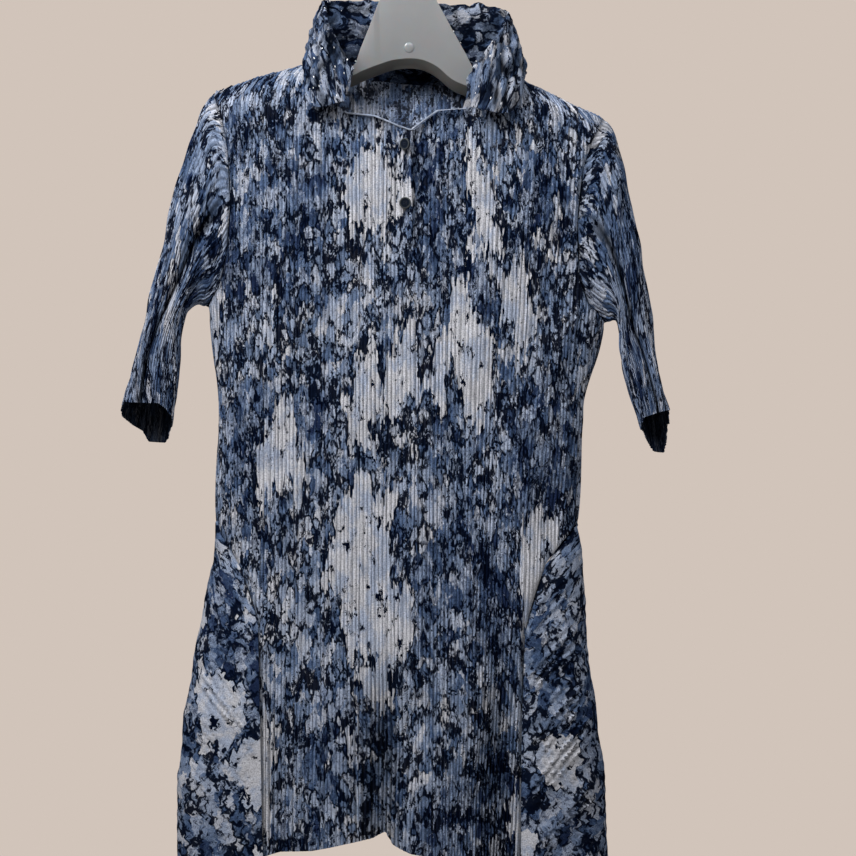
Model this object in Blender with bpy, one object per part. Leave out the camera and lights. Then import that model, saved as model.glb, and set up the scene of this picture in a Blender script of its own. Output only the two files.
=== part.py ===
"""Long pleated shirt on a moulded hanger, built as CAD solids in metres, +Z up, front facing -Y.

Plan sizes are in millimetres: "across" runs to the right from an upright line, and "down" runs down
from a level line above the collar. The hook's inner top, where the hanger is held, is at the origin.
"""

import math

import bmesh
import bpy
import numpy as np

MM = 0.001
HOOK_ACROSS = 408.0  # across value of the hook's inner top
HOOK_DOWN = -115.0  # down value of the hook's inner top

# Cloth wall
WALL_OUT = 0.55  # from the cut's middle to its outside in a trough
WALL_IN = 0.85  # from the cut's middle to its plain inside
PLEAT_RISE = 1.2  # how far a pleat's crest stands out of its trough
SEAM_HALF = 0.22  # half the gap between front and back at side and shoulder
SEAM_GAP = 0.6  # gap between a panel's edge and the piece sewn to it

FRONT_PLEATS = 60
BACK_PLEATS = 60
SLEEVE_PLEATS = 31
GORE_FOLDS = 8
GORE_RISE = 1.4  # how far a gore's folds swell inside and out

# Body sections: down, left edge, right edge, front depth, back depth
SECTIONS = (
    (60, 214, 600, 38, 31),
    (90, 205, 612, 38, 31),
    (114, 196, 616, 39, 31),
    (150, 184, 624, 38, 31),
    (200, 176, 628, 37, 29),
    (240, 181, 626, 37, 30),
    (270, 190, 619, 37, 30),
    (290, 199, 612, 37, 30),
    (306, 207, 608, 37, 30),
    (322, 209, 606, 37, 30),
    (360, 213, 597, 37, 30),
    (400, 216, 586, 38, 31),
    (450, 216, 581, 40, 32),
    (490, 215, 578, 42, 33),
    (522, 215, 578, 44, 35),
    (560, 211, 584, 46, 37),
    (604, 202, 587, 49, 40),
    (666, 191, 591, 54, 44),
    (720, 182, 600, 58, 47),
    (780, 175, 607, 62, 50),
    (830, 174, 609, 65, 53),
    (880, 174, 610, 67, 55),
)
SECTION_POWER = 2.4
SHOULDER_ROLL = 30.0  # how far down the cloth rounds over the hanger's arm

# Panel side edges, shoulder tip to hem: name, left across, left down, right across, right down,
# and across of the middle pleat
EDGES = (
    ("shoulder tip", 211, 90, 605, 115, 411),
    ("tip roll", 212, 93, 603.5, 118, 411),
    ("tip front", 215, 101, 600.5, 125, 411),
    ("armhole high", 221, 118, 593, 140, 411),
    ("armhole upper", 227, 150, 584, 167, 411),
    ("armhole middle", 230, 200, 578, 222, 411),
    ("armhole low", 226, 255, 580, 276, 411),
    ("armhole turn", 217, 288, 590, 304, 411),
    ("underarm", 207, 306, 606, 322, 411),
    ("waist", 216, 400, 586, 400, 409),
    ("gore tip", 215, 522, 578, 522, 406),
    ("gore upper", 240, 568, 546, 564, 403.5),
    ("gore seam", 258, 620, 525, 632, 401),
    ("gore lower", 261, 735, 521, 742, 396.5),
    ("hem", 264, 854, 520, 858, 392),
)
UNDERARM = 8
GORE_TIP = 10

# Front neckline and shoulder line, across and down
FRONT_TOP = (
    (211, 90), (305, 61), (319, 88), (347, 114), (375, 117), (399, 127), (411, 131),
    (423, 122), (437, 112), (465, 110), (505, 101), (522, 77), (605, 115),
)
BACK_TOP = ((211, 90), (305, 61), (340, 70), (411, 78), (486, 80), (522, 77), (605, 115))
FRONT_HEM = (
    (174, 870), (264, 854), (282, 848), (313, 846), (346, 839), (372, 835), (386, 828),
    (394, 841), (411, 848), (440, 852), (480, 854), (520, 858), (610, 872),
)
BACK_HEM = ((174, 870), (264, 864), (285, 851), (391, 842), (498, 852), (520, 866), (610, 872))
SLIT_BOTTOM = 240.0  # down value of the half placket's end
SLIT_COLUMNS = 4

# Large soft folds: name, top across, top down, foot across, foot down, half width, rise
FRONT_FOLDS = (
    ("centre ridge", 404, 500, 408, 700, 26, 6),
    ("centre trough", 386, 620, 381, 880, 21, -14),
    ("left of centre ridge", 345, 560, 335, 880, 28, 6),
    ("right of centre ridge", 432, 600, 440, 880, 27, 7),
    ("right trough", 500, 560, 494, 880, 24, -11),
    ("left seam trough", 264, 590, 272, 880, 20, -6),
    ("chest hollow", 411, 100, 411, 360, 60, -4),
)
BACK_FOLDS = (
    ("centre trough", 400, 560, 404, 880, 24, -10),
    ("left ridge", 340, 540, 330, 880, 26, 8),
    ("right ridge", 455, 560, 462, 880, 26, 8),
    ("left trough", 285, 600, 280, 880, 22, -6),
    ("right trough", 508, 600, 512, 880, 22, -6),
)

# Sleeve rings, armhole to cuff: outer across, outer down, inner across, inner down, depth,
# front pull and back pull towards the shoulder
LEFT_RINGS = (
    (200, 110, 201.5, 303.6, 26, 19, 19),
    (187, 143, 197, 302.6, 27, 16, 15),
    (175, 182, 192, 303.8, 27, 13, 10),
    (166, 222, 187, 307, 26, 11, 6),
    (156, 264, 182.5, 312, 25, 10, 2),
    (147, 302, 180, 323, 24, 10, -2),
    (138, 340, 178.5, 341, 22, 11, -7),
    (129, 378, 176.5, 368, 20, 14, -13),
    (119, 416, 170, 416, 19, 19, -22),
)
RIGHT_RINGS = (
    (613, 128, 610.5, 319.6, 26, 19, 19),
    (622, 152, 614, 318.6, 27, 16, 15),
    (629, 180, 617, 318.6, 27, 13, 10),
    (635, 214, 619.5, 320, 26, 11, 6),
    (643, 254, 621.5, 325, 25, 10, 2),
    (650, 294, 622.5, 336, 24, 10, -2),
    (655, 334, 622.5, 352, 22, 11, -7),
    (661, 376, 627, 376, 20, 14, -13),
    (671, 424, 643, 424, 19, 14, -24),
)

# Collar stations, round the neck: name, share of the neck seam, then roll and leaf edge,
# each across, down, back
COLLAR = (
    ("front left", 0.0, 354, 72, -46, 346, 104, -57),
    ("side front left", 0.1, 332, 32, -37, 312, 107, -50),
    ("side left", 0.19, 319, 3, -6, 301, 58, -22),
    ("back left", 0.28, 331, -5, 22, 313, 52, 33),
    ("back", 0.5, 411, -6, 40, 411, 66, 51),
    ("back right", 0.72, 495, 2, 22, 513, 62, 33),
    ("side right", 0.81, 511, 15, -6, 526, 70, -22),
    ("side front right", 0.9, 494, 42, -37, 511, 113, -50),
    ("front right", 1.0, 466, 82, -46, 470, 110, -57),
)
NECK_FRONT = (351, 462)  # where the collar ends on the front neckline
NECK_SHOULDER = (306, 521)  # where it passes the shoulder seams
COLLAR_COLUMNS = 40
COLLAR_WALL = 0.8  # half the collar's wall
COLLAR_LIFT = 1.3  # from the neckline's cut to the stand's cut

# Hanger sections: across, top, bottom, half depth
HANGER = (
    (221, 96, 105, 5), (226, 92, 111, 9), (240, 86.5, 112, 11), (270, 76.6, 105, 11),
    (300, 67.4, 97, 11), (330, 65, 90, 11), (352, 64, 83, 11), (360, 46, 79, 11),
    (372, 16, 74, 11), (380, -5, 71, 10.5), (390, -22, 67.5, 10), (399, -30, 65.8, 9.5),
    (409, -32, 65, 9.5), (419, -30, 66, 9.5), (428, -20, 69, 10), (438, 0, 75, 10.5),
    (452, 26, 87, 11), (466, 51, 93, 11), (480, 75, 98, 11), (500, 77, 105, 11),
    (522, 82.4, 114, 11), (556, 97.4, 127, 11), (586, 111.5, 135, 10), (593, 117.5, 132, 8),
    (597, 122, 129, 4),
)
HOOK_RADIUS = 24.0
HOOK_WIRE = 2.6

# Half placket strips: across at top left, top right, foot left, foot right
UPPER_STRIP = (396.5, 412.5, 398.5, 412.5)
UNDER_STRIP = (403, 427, 404, 421)
BUTTONS = ((405, 145, 5.75), (405, 203.5, 5.75))
BUTTON_THICK = 2.4


def column(table, place):
    return np.array([row[place] for row in table], dtype=float)


def at(table, key, x, value=1):
    return np.interp(x, column(table, key), column(table, value))


def place(across, down, back):
    """Plan millimetres to metres in the part's frame."""
    return np.stack(
        np.broadcast_arrays(
            (np.asarray(across, float) - HOOK_ACROSS) * MM,
            np.asarray(back, float) * MM,
            (HOOK_DOWN - np.asarray(down, float)) * MM,
        ),
        axis=-1,
    )


def fold_rise(folds, across, down):
    total = np.zeros_like(np.asarray(across, float) + np.asarray(down, float))
    for _, x0, y0, x1, y1, half, rise in folds:
        t = np.clip((down - y0) / (y1 - y0), 0, None)
        middle = x0 + (x1 - x0) * t
        grow = np.clip(t * 1.6, 0, 1)
        grow = grow * grow * (3 - 2 * grow)
        if y1 < 400:
            grow = np.sin(np.pi * np.clip((down - y0) / (y1 - y0), 0, 1))
        total = total + rise * grow * np.exp(-(((across - middle) / half) ** 2))
    return total


def body_depth(across, down, side):
    """Distance of the front (side -1) or back (side 1) cloth from the middle plane."""
    left, right = at(SECTIONS, 0, down, 1), at(SECTIONS, 0, down, 2)
    deep = at(SECTIONS, 0, down, 3 if side < 0 else 4)
    s = np.clip(np.abs((across - (left + right) / 2) / ((right - left) / 2)), 0, 1)
    form = np.sqrt(1 - s**SECTION_POWER)
    shoulder = np.interp(across, (211, 305, 522, 605), (90, 61, 77, 115))
    neck = np.clip(1 - ((across - 413.5) / 108.5) ** 4, 0, 1)
    h = np.clip((down - shoulder) / SHOULDER_ROLL + neck, 0, 1)
    roll = np.sqrt(1 - (1 - h) ** 2)
    folds = fold_rise(FRONT_FOLDS if side < 0 else BACK_FOLDS, across, down)
    return np.maximum(deep * form * roll + folds * form, 0) + SEAM_HALF


def body_point(across, down, side):
    return place(across, down, side * body_depth(across, down, side))


def spread_columns(left, right, side, count):
    """Across values of one row, evenly spaced along the cloth."""
    w = (1 - np.cos(np.pi * np.linspace(0, 1, 600))) / 2
    x = left[0] + (right[0] - left[0]) * w
    y = left[1] + (right[1] - left[1]) * w
    d = body_depth(x, y, side)
    run = np.concatenate(([0], np.cumsum(np.hypot(np.diff(x), np.diff(d)))))
    return np.interp(np.linspace(0, run[-1], count + 1), run, x)


def panel_grid(side, pleats):
    """Middle points of the front or back panel, rows from the top down."""
    count = 2 * pleats
    share = np.linspace(0, 1, count + 1)
    top_table, hem_table = (FRONT_TOP, FRONT_HEM) if side < 0 else (BACK_TOP, BACK_HEM)
    first = EDGES[0][1] + (EDGES[0][3] - EDGES[0][1]) * share
    last = EDGES[-1][1] + (EDGES[-1][3] - EDGES[-1][1]) * share
    top = at(top_table, 0, first)
    hem = at(hem_table, 0, last)
    if side < 0:
        middle = count // 2
        for k in range(-SLIT_COLUMNS + 1, SLIT_COLUMNS):
            edge = top[middle + (SLIT_COLUMNS if k > 0 else -SLIT_COLUMNS)]
            top[middle + k] = SLIT_BOTTOM + (edge - SLIT_BOTTOM) * abs(k) / SLIT_COLUMNS
    rows = []
    for number, (_, xl, yl, xr, yr, centre) in enumerate(EDGES):
        left_end, right_end = (top[0], hem[0]), (top[-1], hem[-1])
        tl = (yl - EDGES[0][2]) / (EDGES[-1][2] - EDGES[0][2])
        tr = (yr - EDGES[0][4]) / (EDGES[-1][4] - EDGES[0][4])
        t = tl + (tr - tl) * share
        down = top + (hem - top) * t
        if number in (0, len(EDGES) - 1):
            across = first if number == 0 else last
        else:
            ends = (left_end[0] + (left_end[1] - left_end[0]) * tl,
                    right_end[0] + (right_end[1] - right_end[0]) * tr)
            if UNDERARM <= number <= GORE_TIP:
                xl, xr = at(SECTIONS, 0, ends[0], 1), at(SECTIONS, 0, ends[1], 2)
            across = spread_columns((xl, ends[0]), (xr, ends[1]), side, count)
        across = across + (centre - across[count // 2]) * (1 - np.abs(2 * share - 1))
        rows.append(body_point(across, down, side))
    return np.array(rows)


def normals_of(grid, closed=False):
    """Unit normals of a grid of rows and columns, facing left of the row direction."""
    if closed:
        wide = np.concatenate((grid[:, -1:], grid, grid[:, :1]), axis=1)
        along = wide[:, 2:] - wide[:, :-2]
    else:
        along = np.gradient(grid, axis=1)
    down = np.gradient(grid, axis=0)
    n = np.cross(along, down)
    size = np.linalg.norm(n, axis=-1, keepdims=True)
    return n / np.maximum(size, 1e-12)


def new_object(name, points, faces):
    mesh = bpy.data.meshes.new(name)
    mesh.from_pydata([tuple(p) for p in points], [], faces)
    mesh.validate()
    work = bmesh.new()
    work.from_mesh(mesh)
    bmesh.ops.triangulate(work, faces=work.faces[:], quad_method="SHORT_EDGE")
    bmesh.ops.recalc_face_normals(work, faces=work.faces[:])
    if work.calc_volume(signed=True) < 0:
        bmesh.ops.reverse_faces(work, faces=work.faces[:])
    work.to_mesh(mesh)
    work.free()
    made = bpy.data.objects.new(name, mesh)
    PARTS.objects.link(made)
    return made


def cloth_wall(name, middle, raised, inner_columns, normals, outs=(WALL_OUT, WALL_IN)):
    """Closed wall on an open grid: raised crests outside, a plain sparser inside."""
    rows, columns = middle.shape[:2]
    outer = middle + normals * (outs[0] + raised)[..., None] * MM
    inner = (middle - normals * outs[1] * MM)[:, inner_columns]
    points = list(outer.reshape(-1, 3)) + list(inner.reshape(-1, 3))
    base, width = rows * columns, len(inner_columns)

    def o(j, i):
        return j * columns + i

    def n(j, k):
        return base + j * width + k

    faces = []
    for j in range(rows - 1):
        faces += [(o(j, i), o(j, i + 1), o(j + 1, i + 1), o(j + 1, i)) for i in range(columns - 1)]
        faces += [(n(j, k), n(j + 1, k), n(j + 1, k + 1), n(j, k + 1)) for k in range(width - 1)]
        faces.append((o(j, 0), o(j + 1, 0), n(j + 1, 0), n(j, 0)))
        faces.append((o(j, columns - 1), n(j, width - 1), n(j + 1, width - 1), o(j + 1, columns - 1)))
    for k in range(width - 1):
        a, b = inner_columns[k], inner_columns[k + 1]
        half = (a + b) // 2
        for j, flip in ((0, False), (rows - 1, True)):
            fans = [(n(j, k), o(j, i + 1), o(j, i)) for i in range(a, half)]
            fans.append((n(j, k), n(j, k + 1), o(j, half)))
            fans += [(n(j, k + 1), o(j, i + 1), o(j, i)) for i in range(half, b)]
            faces += [f[::-1] if flip else f for f in fans]
    return new_object(name, points, faces)


def cloth_tube(name, middle, raised, inner_step, normals, outs=(WALL_OUT, WALL_IN)):
    """Closed wall round a tube that is open at both ends."""
    rows, columns = middle.shape[:2]
    outer = middle + normals * (outs[0] + raised)[..., None] * MM
    inner = (middle - normals * outs[1] * MM)[:, ::inner_step]
    points = list(outer.reshape(-1, 3)) + list(inner.reshape(-1, 3))
    base, width = rows * columns, columns // inner_step

    def o(j, i):
        return j * columns + i % columns

    def n(j, k):
        return base + j * width + k % width

    faces = []
    for j in range(rows - 1):
        faces += [(o(j, i), o(j, i + 1), o(j + 1, i + 1), o(j + 1, i)) for i in range(columns)]
        faces += [(n(j, k), n(j + 1, k), n(j + 1, k + 1), n(j, k + 1)) for k in range(width)]
    for k in range(width):
        a = k * inner_step
        for j, flip in ((0, False), (rows - 1, True)):
            half = a + inner_step // 2
            fans = [(n(j, k), o(j, i + 1), o(j, i)) for i in range(a, half)]
            fans.append((n(j, k), n(j, k + 1), o(j, half)))
            fans += [(n(j, k + 1), o(j, i + 1), o(j, i)) for i in range(half, a + inner_step)]
            faces += [f[::-1] if flip else f for f in fans]
    return new_object(name, points, faces)


def crests(rows, columns):
    """Pleat heights: every second column stands out, the edge columns don't."""
    raised = np.zeros((rows, columns))
    raised[:, 1:-1:2] = PLEAT_RISE
    return raised


def smooth_normals(points):
    """Front normals from the depth's own slopes, for rows that run steeply along the slit."""
    x = points[..., 0] / MM + HOOK_ACROSS
    y = HOOK_DOWN - points[..., 2] / MM
    slope_x = (body_depth(x + 1, y, -1) - body_depth(x - 1, y, -1)) / 2
    slope_y = (body_depth(x, y + 1, -1) - body_depth(x, y - 1, -1)) / 2
    n = np.stack((-slope_x, -np.ones_like(slope_x), slope_y), axis=-1)
    return n / np.linalg.norm(n, axis=-1, keepdims=True)


def body_panels():
    made = {}
    for name, side, pleats in (("front_body", -1, FRONT_PLEATS), ("back_body", 1, BACK_PLEATS)):
        middle = panel_grid(side, pleats)
        normals = normals_of(middle)
        facing = 1 if np.sum(normals[..., 1]) * side > 0 else -1
        normals = normals * facing
        for edge, way in ((0, -1), (-1, 1)):
            for row in range(UNDERARM, GORE_TIP + 1):
                normals[row, edge] = (way, 0, 0)
        across = middle[0, :, 0] / MM + HOOK_ACROSS
        ridge = (across < FRONT_TOP[1][0] + 1) | (across > FRONT_TOP[-2][0] - 1)
        normals[0, ridge] = (0, 0, 1)
        count = middle.shape[1] - 1
        if side < 0:
            mid = slice(count // 2 - 12, count // 2 + 13)
            normals[:, mid] = smooth_normals(middle[:, mid])
        near = [0, 2, 4, 6, 8]
        inner = near + list(range(12, count - 8, 4)) + [count - k for k in reversed(near)]
        if side < 0:
            slit = range(count // 2 - SLIT_COLUMNS, count // 2 + SLIT_COLUMNS + 1)
            inner = sorted(set(inner) | set(slit))
        cloth_wall(name, middle, crests(*middle.shape[:2]), inner, normals)
        made[side] = (middle, normals)
    return made


def sample(line, shares):
    """Points at these shares of a polyline's length."""
    run = np.concatenate(([0], np.cumsum(np.linalg.norm(np.diff(line, axis=0), axis=1))))
    return np.stack([np.interp(shares * run[-1], run, line[:, k]) for k in range(3)], axis=-1)


def ring(row, count):
    """One sleeve ring: outer edge, front, inner edge, back."""
    xo, yo, xi, yi, deep, front_pull, back_pull = row
    turn = 2 * np.pi * np.arange(count) / count
    cos, sin = np.cos(turn), np.sin(turn)
    middle = np.array(((xo + xi) / 2, (yo + yi) / 2))
    half = np.array(((xo - xi) / 2, (yo - yi) / 2))
    size = np.hypot(*half)
    up = np.array((half[1], -half[0])) / size
    if up[1] > 0.2 or (abs(up[1]) <= 0.2 and up[0] * (408 - xo) < 0):
        up = -up
    pull = np.where(sin > 0, front_pull, back_pull) * sin**2
    swell = np.sign(cos) * np.abs(cos) ** 0.92
    across = middle[0] + half[0] * swell + up[0] * pull
    down = middle[1] + half[1] * swell + up[1] * pull
    return place(across, down, -deep * np.sign(sin) * np.abs(sin) ** 0.85)


def sleeve(name, panels, edge, rings):
    count = 2 * SLEEVE_PLEATS + 2
    front = panels[-1][0][: UNDERARM + 1, edge]
    back = panels[1][0][: UNDERARM + 1, edge]
    half = count // 2
    down = np.linspace(0, 1, half + 1)
    seam = np.concatenate((sample(front, down), sample(back[::-1], down)[1:-1]))
    rows = [ring(row, count) for row in rings]
    lead = rows[0] - seam
    lead /= np.linalg.norm(lead, axis=1, keepdims=True)
    turn = 2 * np.pi * np.arange(count) / count
    under = np.exp(-(((turn - np.pi) / 0.75) ** 2))
    start = seam + lead * (SEAM_GAP + WALL_OUT + 3.2 * under)[:, None] * MM
    start[0, 1] = start[half, 1] = 0
    middle = np.array([start] + rows)
    normals = normals_of(middle, closed=True)
    outward = middle - middle.mean(axis=1, keepdims=True)
    if np.sum(normals * outward) < 0:
        normals = -normals
    raised = np.zeros(middle.shape[:2])
    raised[:, 1::2] = PLEAT_RISE
    raised[0] *= 0.5
    cloth_tube(name, middle, raised, 4, normals)


def gore(name, panels, edge):
    """Side godet from the front seam round the side fold to the back seam."""
    across_count, steps = 14, 2
    seam, facing = {}, {}
    shares = np.linspace(0, 1, 2 * steps + 1)[:-1]
    for side in (-1, 1):
        for found, line in zip((seam, facing), panels[side]):
            line = line[GORE_TIP:, edge]
            pieces = [a + (b - a) * shares[:, None] for a, b in zip(line[:-1], line[1:])]
            found[side] = np.concatenate(pieces + [line[-1:]])
    total = len(seam[-1])
    rows = []
    for j in range(1, total):
        v = j / (total - 1)
        front, back = seam[-1][j], seam[1][j]
        u = np.linspace(-1, 1, across_count + 1)
        fade = 1 - max(0, (v - 0.5) / 0.5) ** 2
        slant = min(5.2 * (j - 1), 46) * fade * (1 - np.abs(u))
        hang = 14 * v**6 * (1 - u * u)
        start_down = HOOK_DOWN - front[2] / MM
        end_down = HOOK_DOWN - back[2] / MM
        down = start_down + (end_down - start_down) * (u + 1) / 2 - slant + hang
        fold = 1 if edge else 0
        reach = at(SECTIONS, 0, down, 2 if fold else 1)
        middle = (at(SECTIONS, 0, down, 1) + at(SECTIONS, 0, down, 2)) / 2
        half = np.abs(reach - middle)
        front_x = front[0] / MM + HOOK_ACROSS
        back_x = back[0] / MM + HOOK_ACROSS
        seam_x = np.where(u < 0, front_x, back_x)
        open_share = np.clip(np.abs(seam_x - middle) / half, 0, 1)
        angle = np.arccos(open_share) * np.abs(u) ** 0.8
        s = np.cos(angle)
        deep = np.where(u < 0, -at(SECTIONS, 0, down, 3), at(SECTIONS, 0, down, 4))
        x = middle + (1 if fold else -1) * half * s
        y = deep * np.sqrt(np.maximum(1 - s**SECTION_POWER, 0))
        row = place(x, down, y)
        ease = np.abs(u) ** 3
        row += (ease * (u < 0))[:, None] * (front - row[0])
        row += (ease * (u >= 0))[:, None] * (back - row[-1])
        gap = SEAM_GAP + (1.6 if j < 3 else 0.5 if j < 5 else 0)
        for columns in ((0, 1, 2, 3), (-1, -2, -3, -4)):
            way = row[columns[1]] - row[columns[0]]
            way /= np.linalg.norm(way)
            for k in columns:
                row[k] = row[k] + way * gap * MM * (1 - abs(k - columns[0]) / 4)
        rows.append(row)
    middle = np.array(rows)
    normals = normals_of(middle)
    way = 1 if edge else -1
    if np.sum(normals[:, across_count // 2, 0]) * way < 0:
        normals = -normals
    normals[:, 0], normals[:, -1] = facing[-1][1:], facing[1][1:]
    normals /= np.linalg.norm(normals, axis=-1, keepdims=True)
    raised = np.zeros(middle.shape[:2])
    every = max(1, round((total - 1) / (2 * GORE_FOLDS)))
    for j in range(4, middle.shape[0] - 1):
        if (j // every) % 2:
            raised[j, 1:-1] = PLEAT_RISE
            middle[j, 1:-1] += normals[j, 1:-1] * GORE_RISE * MM
    inner = list(range(0, across_count + 1, 1))
    cloth_wall(name, middle, raised, inner, normals)


def smooth_stations(table, start, count):
    """Points along a soft curve through a table's stations."""
    knots = np.array([row[start:start + 3] for row in table], dtype=float)
    padded = np.concatenate((2 * knots[:1] - knots[1:2], knots, 2 * knots[-1:] - knots[-2:-1]))
    out = []
    for share in np.linspace(0, len(knots) - 1, count + 1):
        k = min(int(share), len(knots) - 2)
        t = share - k
        a, b, c, d = padded[k:k + 4]
        out.append(0.5 * (2 * b + (c - a) * t + (2 * a - 5 * b + 4 * c - d) * t**2
                          + (3 * b - a - 3 * c + d) * t**3))
    return np.array(out)


def neck_seam(panels):
    """The neckline from the collar's left end round the back to its right end."""
    def part(side, start, stop):
        top = panels[side][0][0]
        x = np.linspace(start, stop, 30)
        across = top[:, 0] / MM + HOOK_ACROSS
        down = np.interp(x, across, HOOK_DOWN - top[:, 2] / MM)
        return np.stack((x, down, np.interp(x, across, top[:, 1] / MM)), axis=-1)

    left, right = NECK_SHOULDER
    return np.concatenate((part(-1, NECK_FRONT[0], left), part(1, left, right)[1:-1],
                           part(-1, right, NECK_FRONT[1])))


def square_to(line, ways):
    """Unit directions of these ways, turned square to the line."""
    along = np.gradient(line, axis=0)
    along /= np.linalg.norm(along, axis=1, keepdims=True)
    ways = ways - np.sum(ways * along, axis=1, keepdims=True) * along
    return ways / np.linalg.norm(ways, axis=1, keepdims=True)


def collar(panels):
    shares = np.interp(np.linspace(0, len(COLLAR) - 1, COLLAR_COLUMNS + 1),
                       range(len(COLLAR)), column(COLLAR, 1))
    seam = sample(neck_seam(panels), shares)
    roll = smooth_stations(COLLAR, 2, COLLAR_COLUMNS)
    seam = seam + square_to(seam, roll - seam) * COLLAR_LIFT
    leaf = smooth_stations(COLLAR, 5, COLLAR_COLUMNS)
    centre = np.array((411.0, 0.0, 0.0))
    outward = roll - centre
    outward[:, 1] = 0
    outward /= np.linalg.norm(outward, axis=1, keepdims=True)
    stand_rows = [seam + (roll - seam) * v + outward * 3 * math.sin(math.pi * v)
                  for v in (0, 0.35, 0.7, 1)]
    rise = square_to(roll, roll - seam)
    out = np.cross(np.gradient(roll, axis=0), rise)
    out /= np.linalg.norm(out, axis=1, keepdims=True)
    out *= np.sign(np.sum(out * outward, axis=1, keepdims=True))
    leaf_rows = [roll + rise * 2.3]
    out_top = roll + out * 3.4 + rise * 0.6
    for v in (0, 0.3, 0.65, 1):
        leaf_rows.append(out_top + (leaf - out_top) * v + outward * 4 * math.sin(math.pi * v * 0.9))
    for name, rows in (("collar_stand", stand_rows), ("collar_leaf", leaf_rows)):
        middle = np.array([place(r[:, 0], r[:, 1], r[:, 2]) for r in rows])
        normals = normals_of(middle)
        middle_column = COLLAR_COLUMNS // 2
        if normals[-1, middle_column, 1] < 0:
            normals = -normals
        plain = np.zeros(middle.shape[:2])
        cloth_wall(name, middle, plain, list(range(COLLAR_COLUMNS + 1)), normals,
                   (COLLAR_WALL, COLLAR_WALL))


def strip(name, plan, top, foot, lift):
    """Flat placket strip that follows the front at a set distance."""
    shares = np.linspace(0, 1, 8)
    rows = []
    for share in shares:
        left = plan[0] + (plan[2] - plan[0]) * share
        right = plan[1] + (plan[3] - plan[1]) * share
        x = np.linspace(left, right, 5)
        y = np.full(5, top + (foot - top) * share)
        depth = body_depth(x, y, -1)
        rows.append(place(x, y, -(depth + lift)))
    middle = np.array(rows)
    normals = normals_of(middle)
    if np.sum(normals[..., 1]) > 0:
        normals = -normals
    cloth_wall(name, middle, np.zeros(middle.shape[:2]), list(range(5)), normals, (0.6, 0.6))


def button(number, across, down, radius):
    """Round button with a soft rim and a shallow dish."""
    seat = body_depth(np.array(float(across)), np.array(float(down)), -1) + 5.7
    half = BUTTON_THICK / 2
    profile = ((0, -half), (radius - 0.8, -half), (radius, -half + 0.8), (radius, half - 0.8),
               (radius - 0.8, half), (radius - 2, half), (radius - 2.6, half - 0.6), (0, half - 0.6))
    steps = 16
    points, faces, rings = [], [], []
    for r, h in profile:
        if r == 0:
            rings.append([len(points)])
            points.append(place(across, down, -(seat + h)))
            continue
        rings.append(list(range(len(points), len(points) + steps)))
        for k in range(steps):
            turn = 2 * math.pi * k / steps
            points.append(place(across + r * math.cos(turn), down + r * math.sin(turn), -(seat + h)))
    for a, b in zip(rings[:-1], rings[1:]):
        for k in range(steps):
            n = (k + 1) % steps
            if len(a) == 1:
                faces.append((a[0], b[k], b[n]))
            elif len(b) == 1:
                faces.append((a[k], b[0], a[n]))
            else:
                faces.append((a[k], b[k], b[n], a[n]))
    new_object(f"button_{number}", points, faces)


def hanger():
    """Moulded hanger: head and arms as one loft along its length, and the hook joined on."""
    points, faces = [], []
    for x, top, bottom, deep in HANGER:
        tall = bottom - top
        corner = min(4.0, tall / 3, deep * 0.45)
        slope = min(11.0, tall * 0.3)
        outline = (
            (-deep + corner, top), (-deep, top + corner), (-deep, bottom - slope),
            (-deep + corner * 1.2, bottom - slope * 0.35), (0, bottom),
            (deep - corner * 1.2, bottom - slope * 0.35), (deep, bottom - slope),
            (deep, top + corner), (deep - corner, top),
        )
        points += [place(x, down, back) for back, down in outline]
    size = 9
    for k in range(len(HANGER) - 1):
        for i in range(size):
            n = (i + 1) % size
            faces.append((k * size + i, k * size + n, (k + 1) * size + n, (k + 1) * size + i))
    faces.append(tuple(range(size)))
    faces.append(tuple(reversed(range((len(HANGER) - 1) * size, len(HANGER) * size))))
    body = new_object("hanger", points, faces)

    path = [(409, -20), (409, HOOK_DOWN + 2 * HOOK_RADIUS + 14)]
    centre = (HOOK_ACROSS, HOOK_DOWN + HOOK_RADIUS - HOOK_WIRE)
    for step in range(15):
        turn = math.radians(72 - 17.5 * step)
        path.append((centre[0] + HOOK_RADIUS * math.cos(turn), centre[1] + HOOK_RADIUS * math.sin(turn)))
    curve = bpy.data.curves.new("hook line", "CURVE")
    curve.dimensions = "3D"
    curve.bevel_depth = HOOK_WIRE * MM
    curve.bevel_resolution = 1
    curve.use_fill_caps = True
    line = curve.splines.new("POLY")
    line.points.add(len(path) - 1)
    for point, (x, y) in zip(line.points, path):
        point.co = (*place(x, y, 0), 1)
    hook = bpy.data.objects.new("hook cutter", curve)
    TOOLS.objects.link(hook)
    hook.hide_render = True
    hook.display_type = "WIRE"
    mesh = bpy.data.meshes.new_from_object(hook.evaluated_get(bpy.context.evaluated_depsgraph_get()))
    solid = bpy.data.objects.new("hook solid", mesh)
    solid.hide_render = True
    solid.display_type = "WIRE"
    TOOLS.objects.link(solid)
    join = body.modifiers.new("hook", "BOOLEAN")
    join.operation = "UNION"
    join.solver = "EXACT"
    join.object = solid


def material(name, kind, colour, rough):
    made = bpy.data.materials.new(f"{name} {kind}")
    made.use_nodes = True
    shader = made.node_tree.nodes["Principled BSDF"]
    shader.inputs["Base Color"].default_value = (*colour, 1)
    shader.inputs["Roughness"].default_value = rough
    bpy.data.objects[name].data.materials.append(made)


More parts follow.
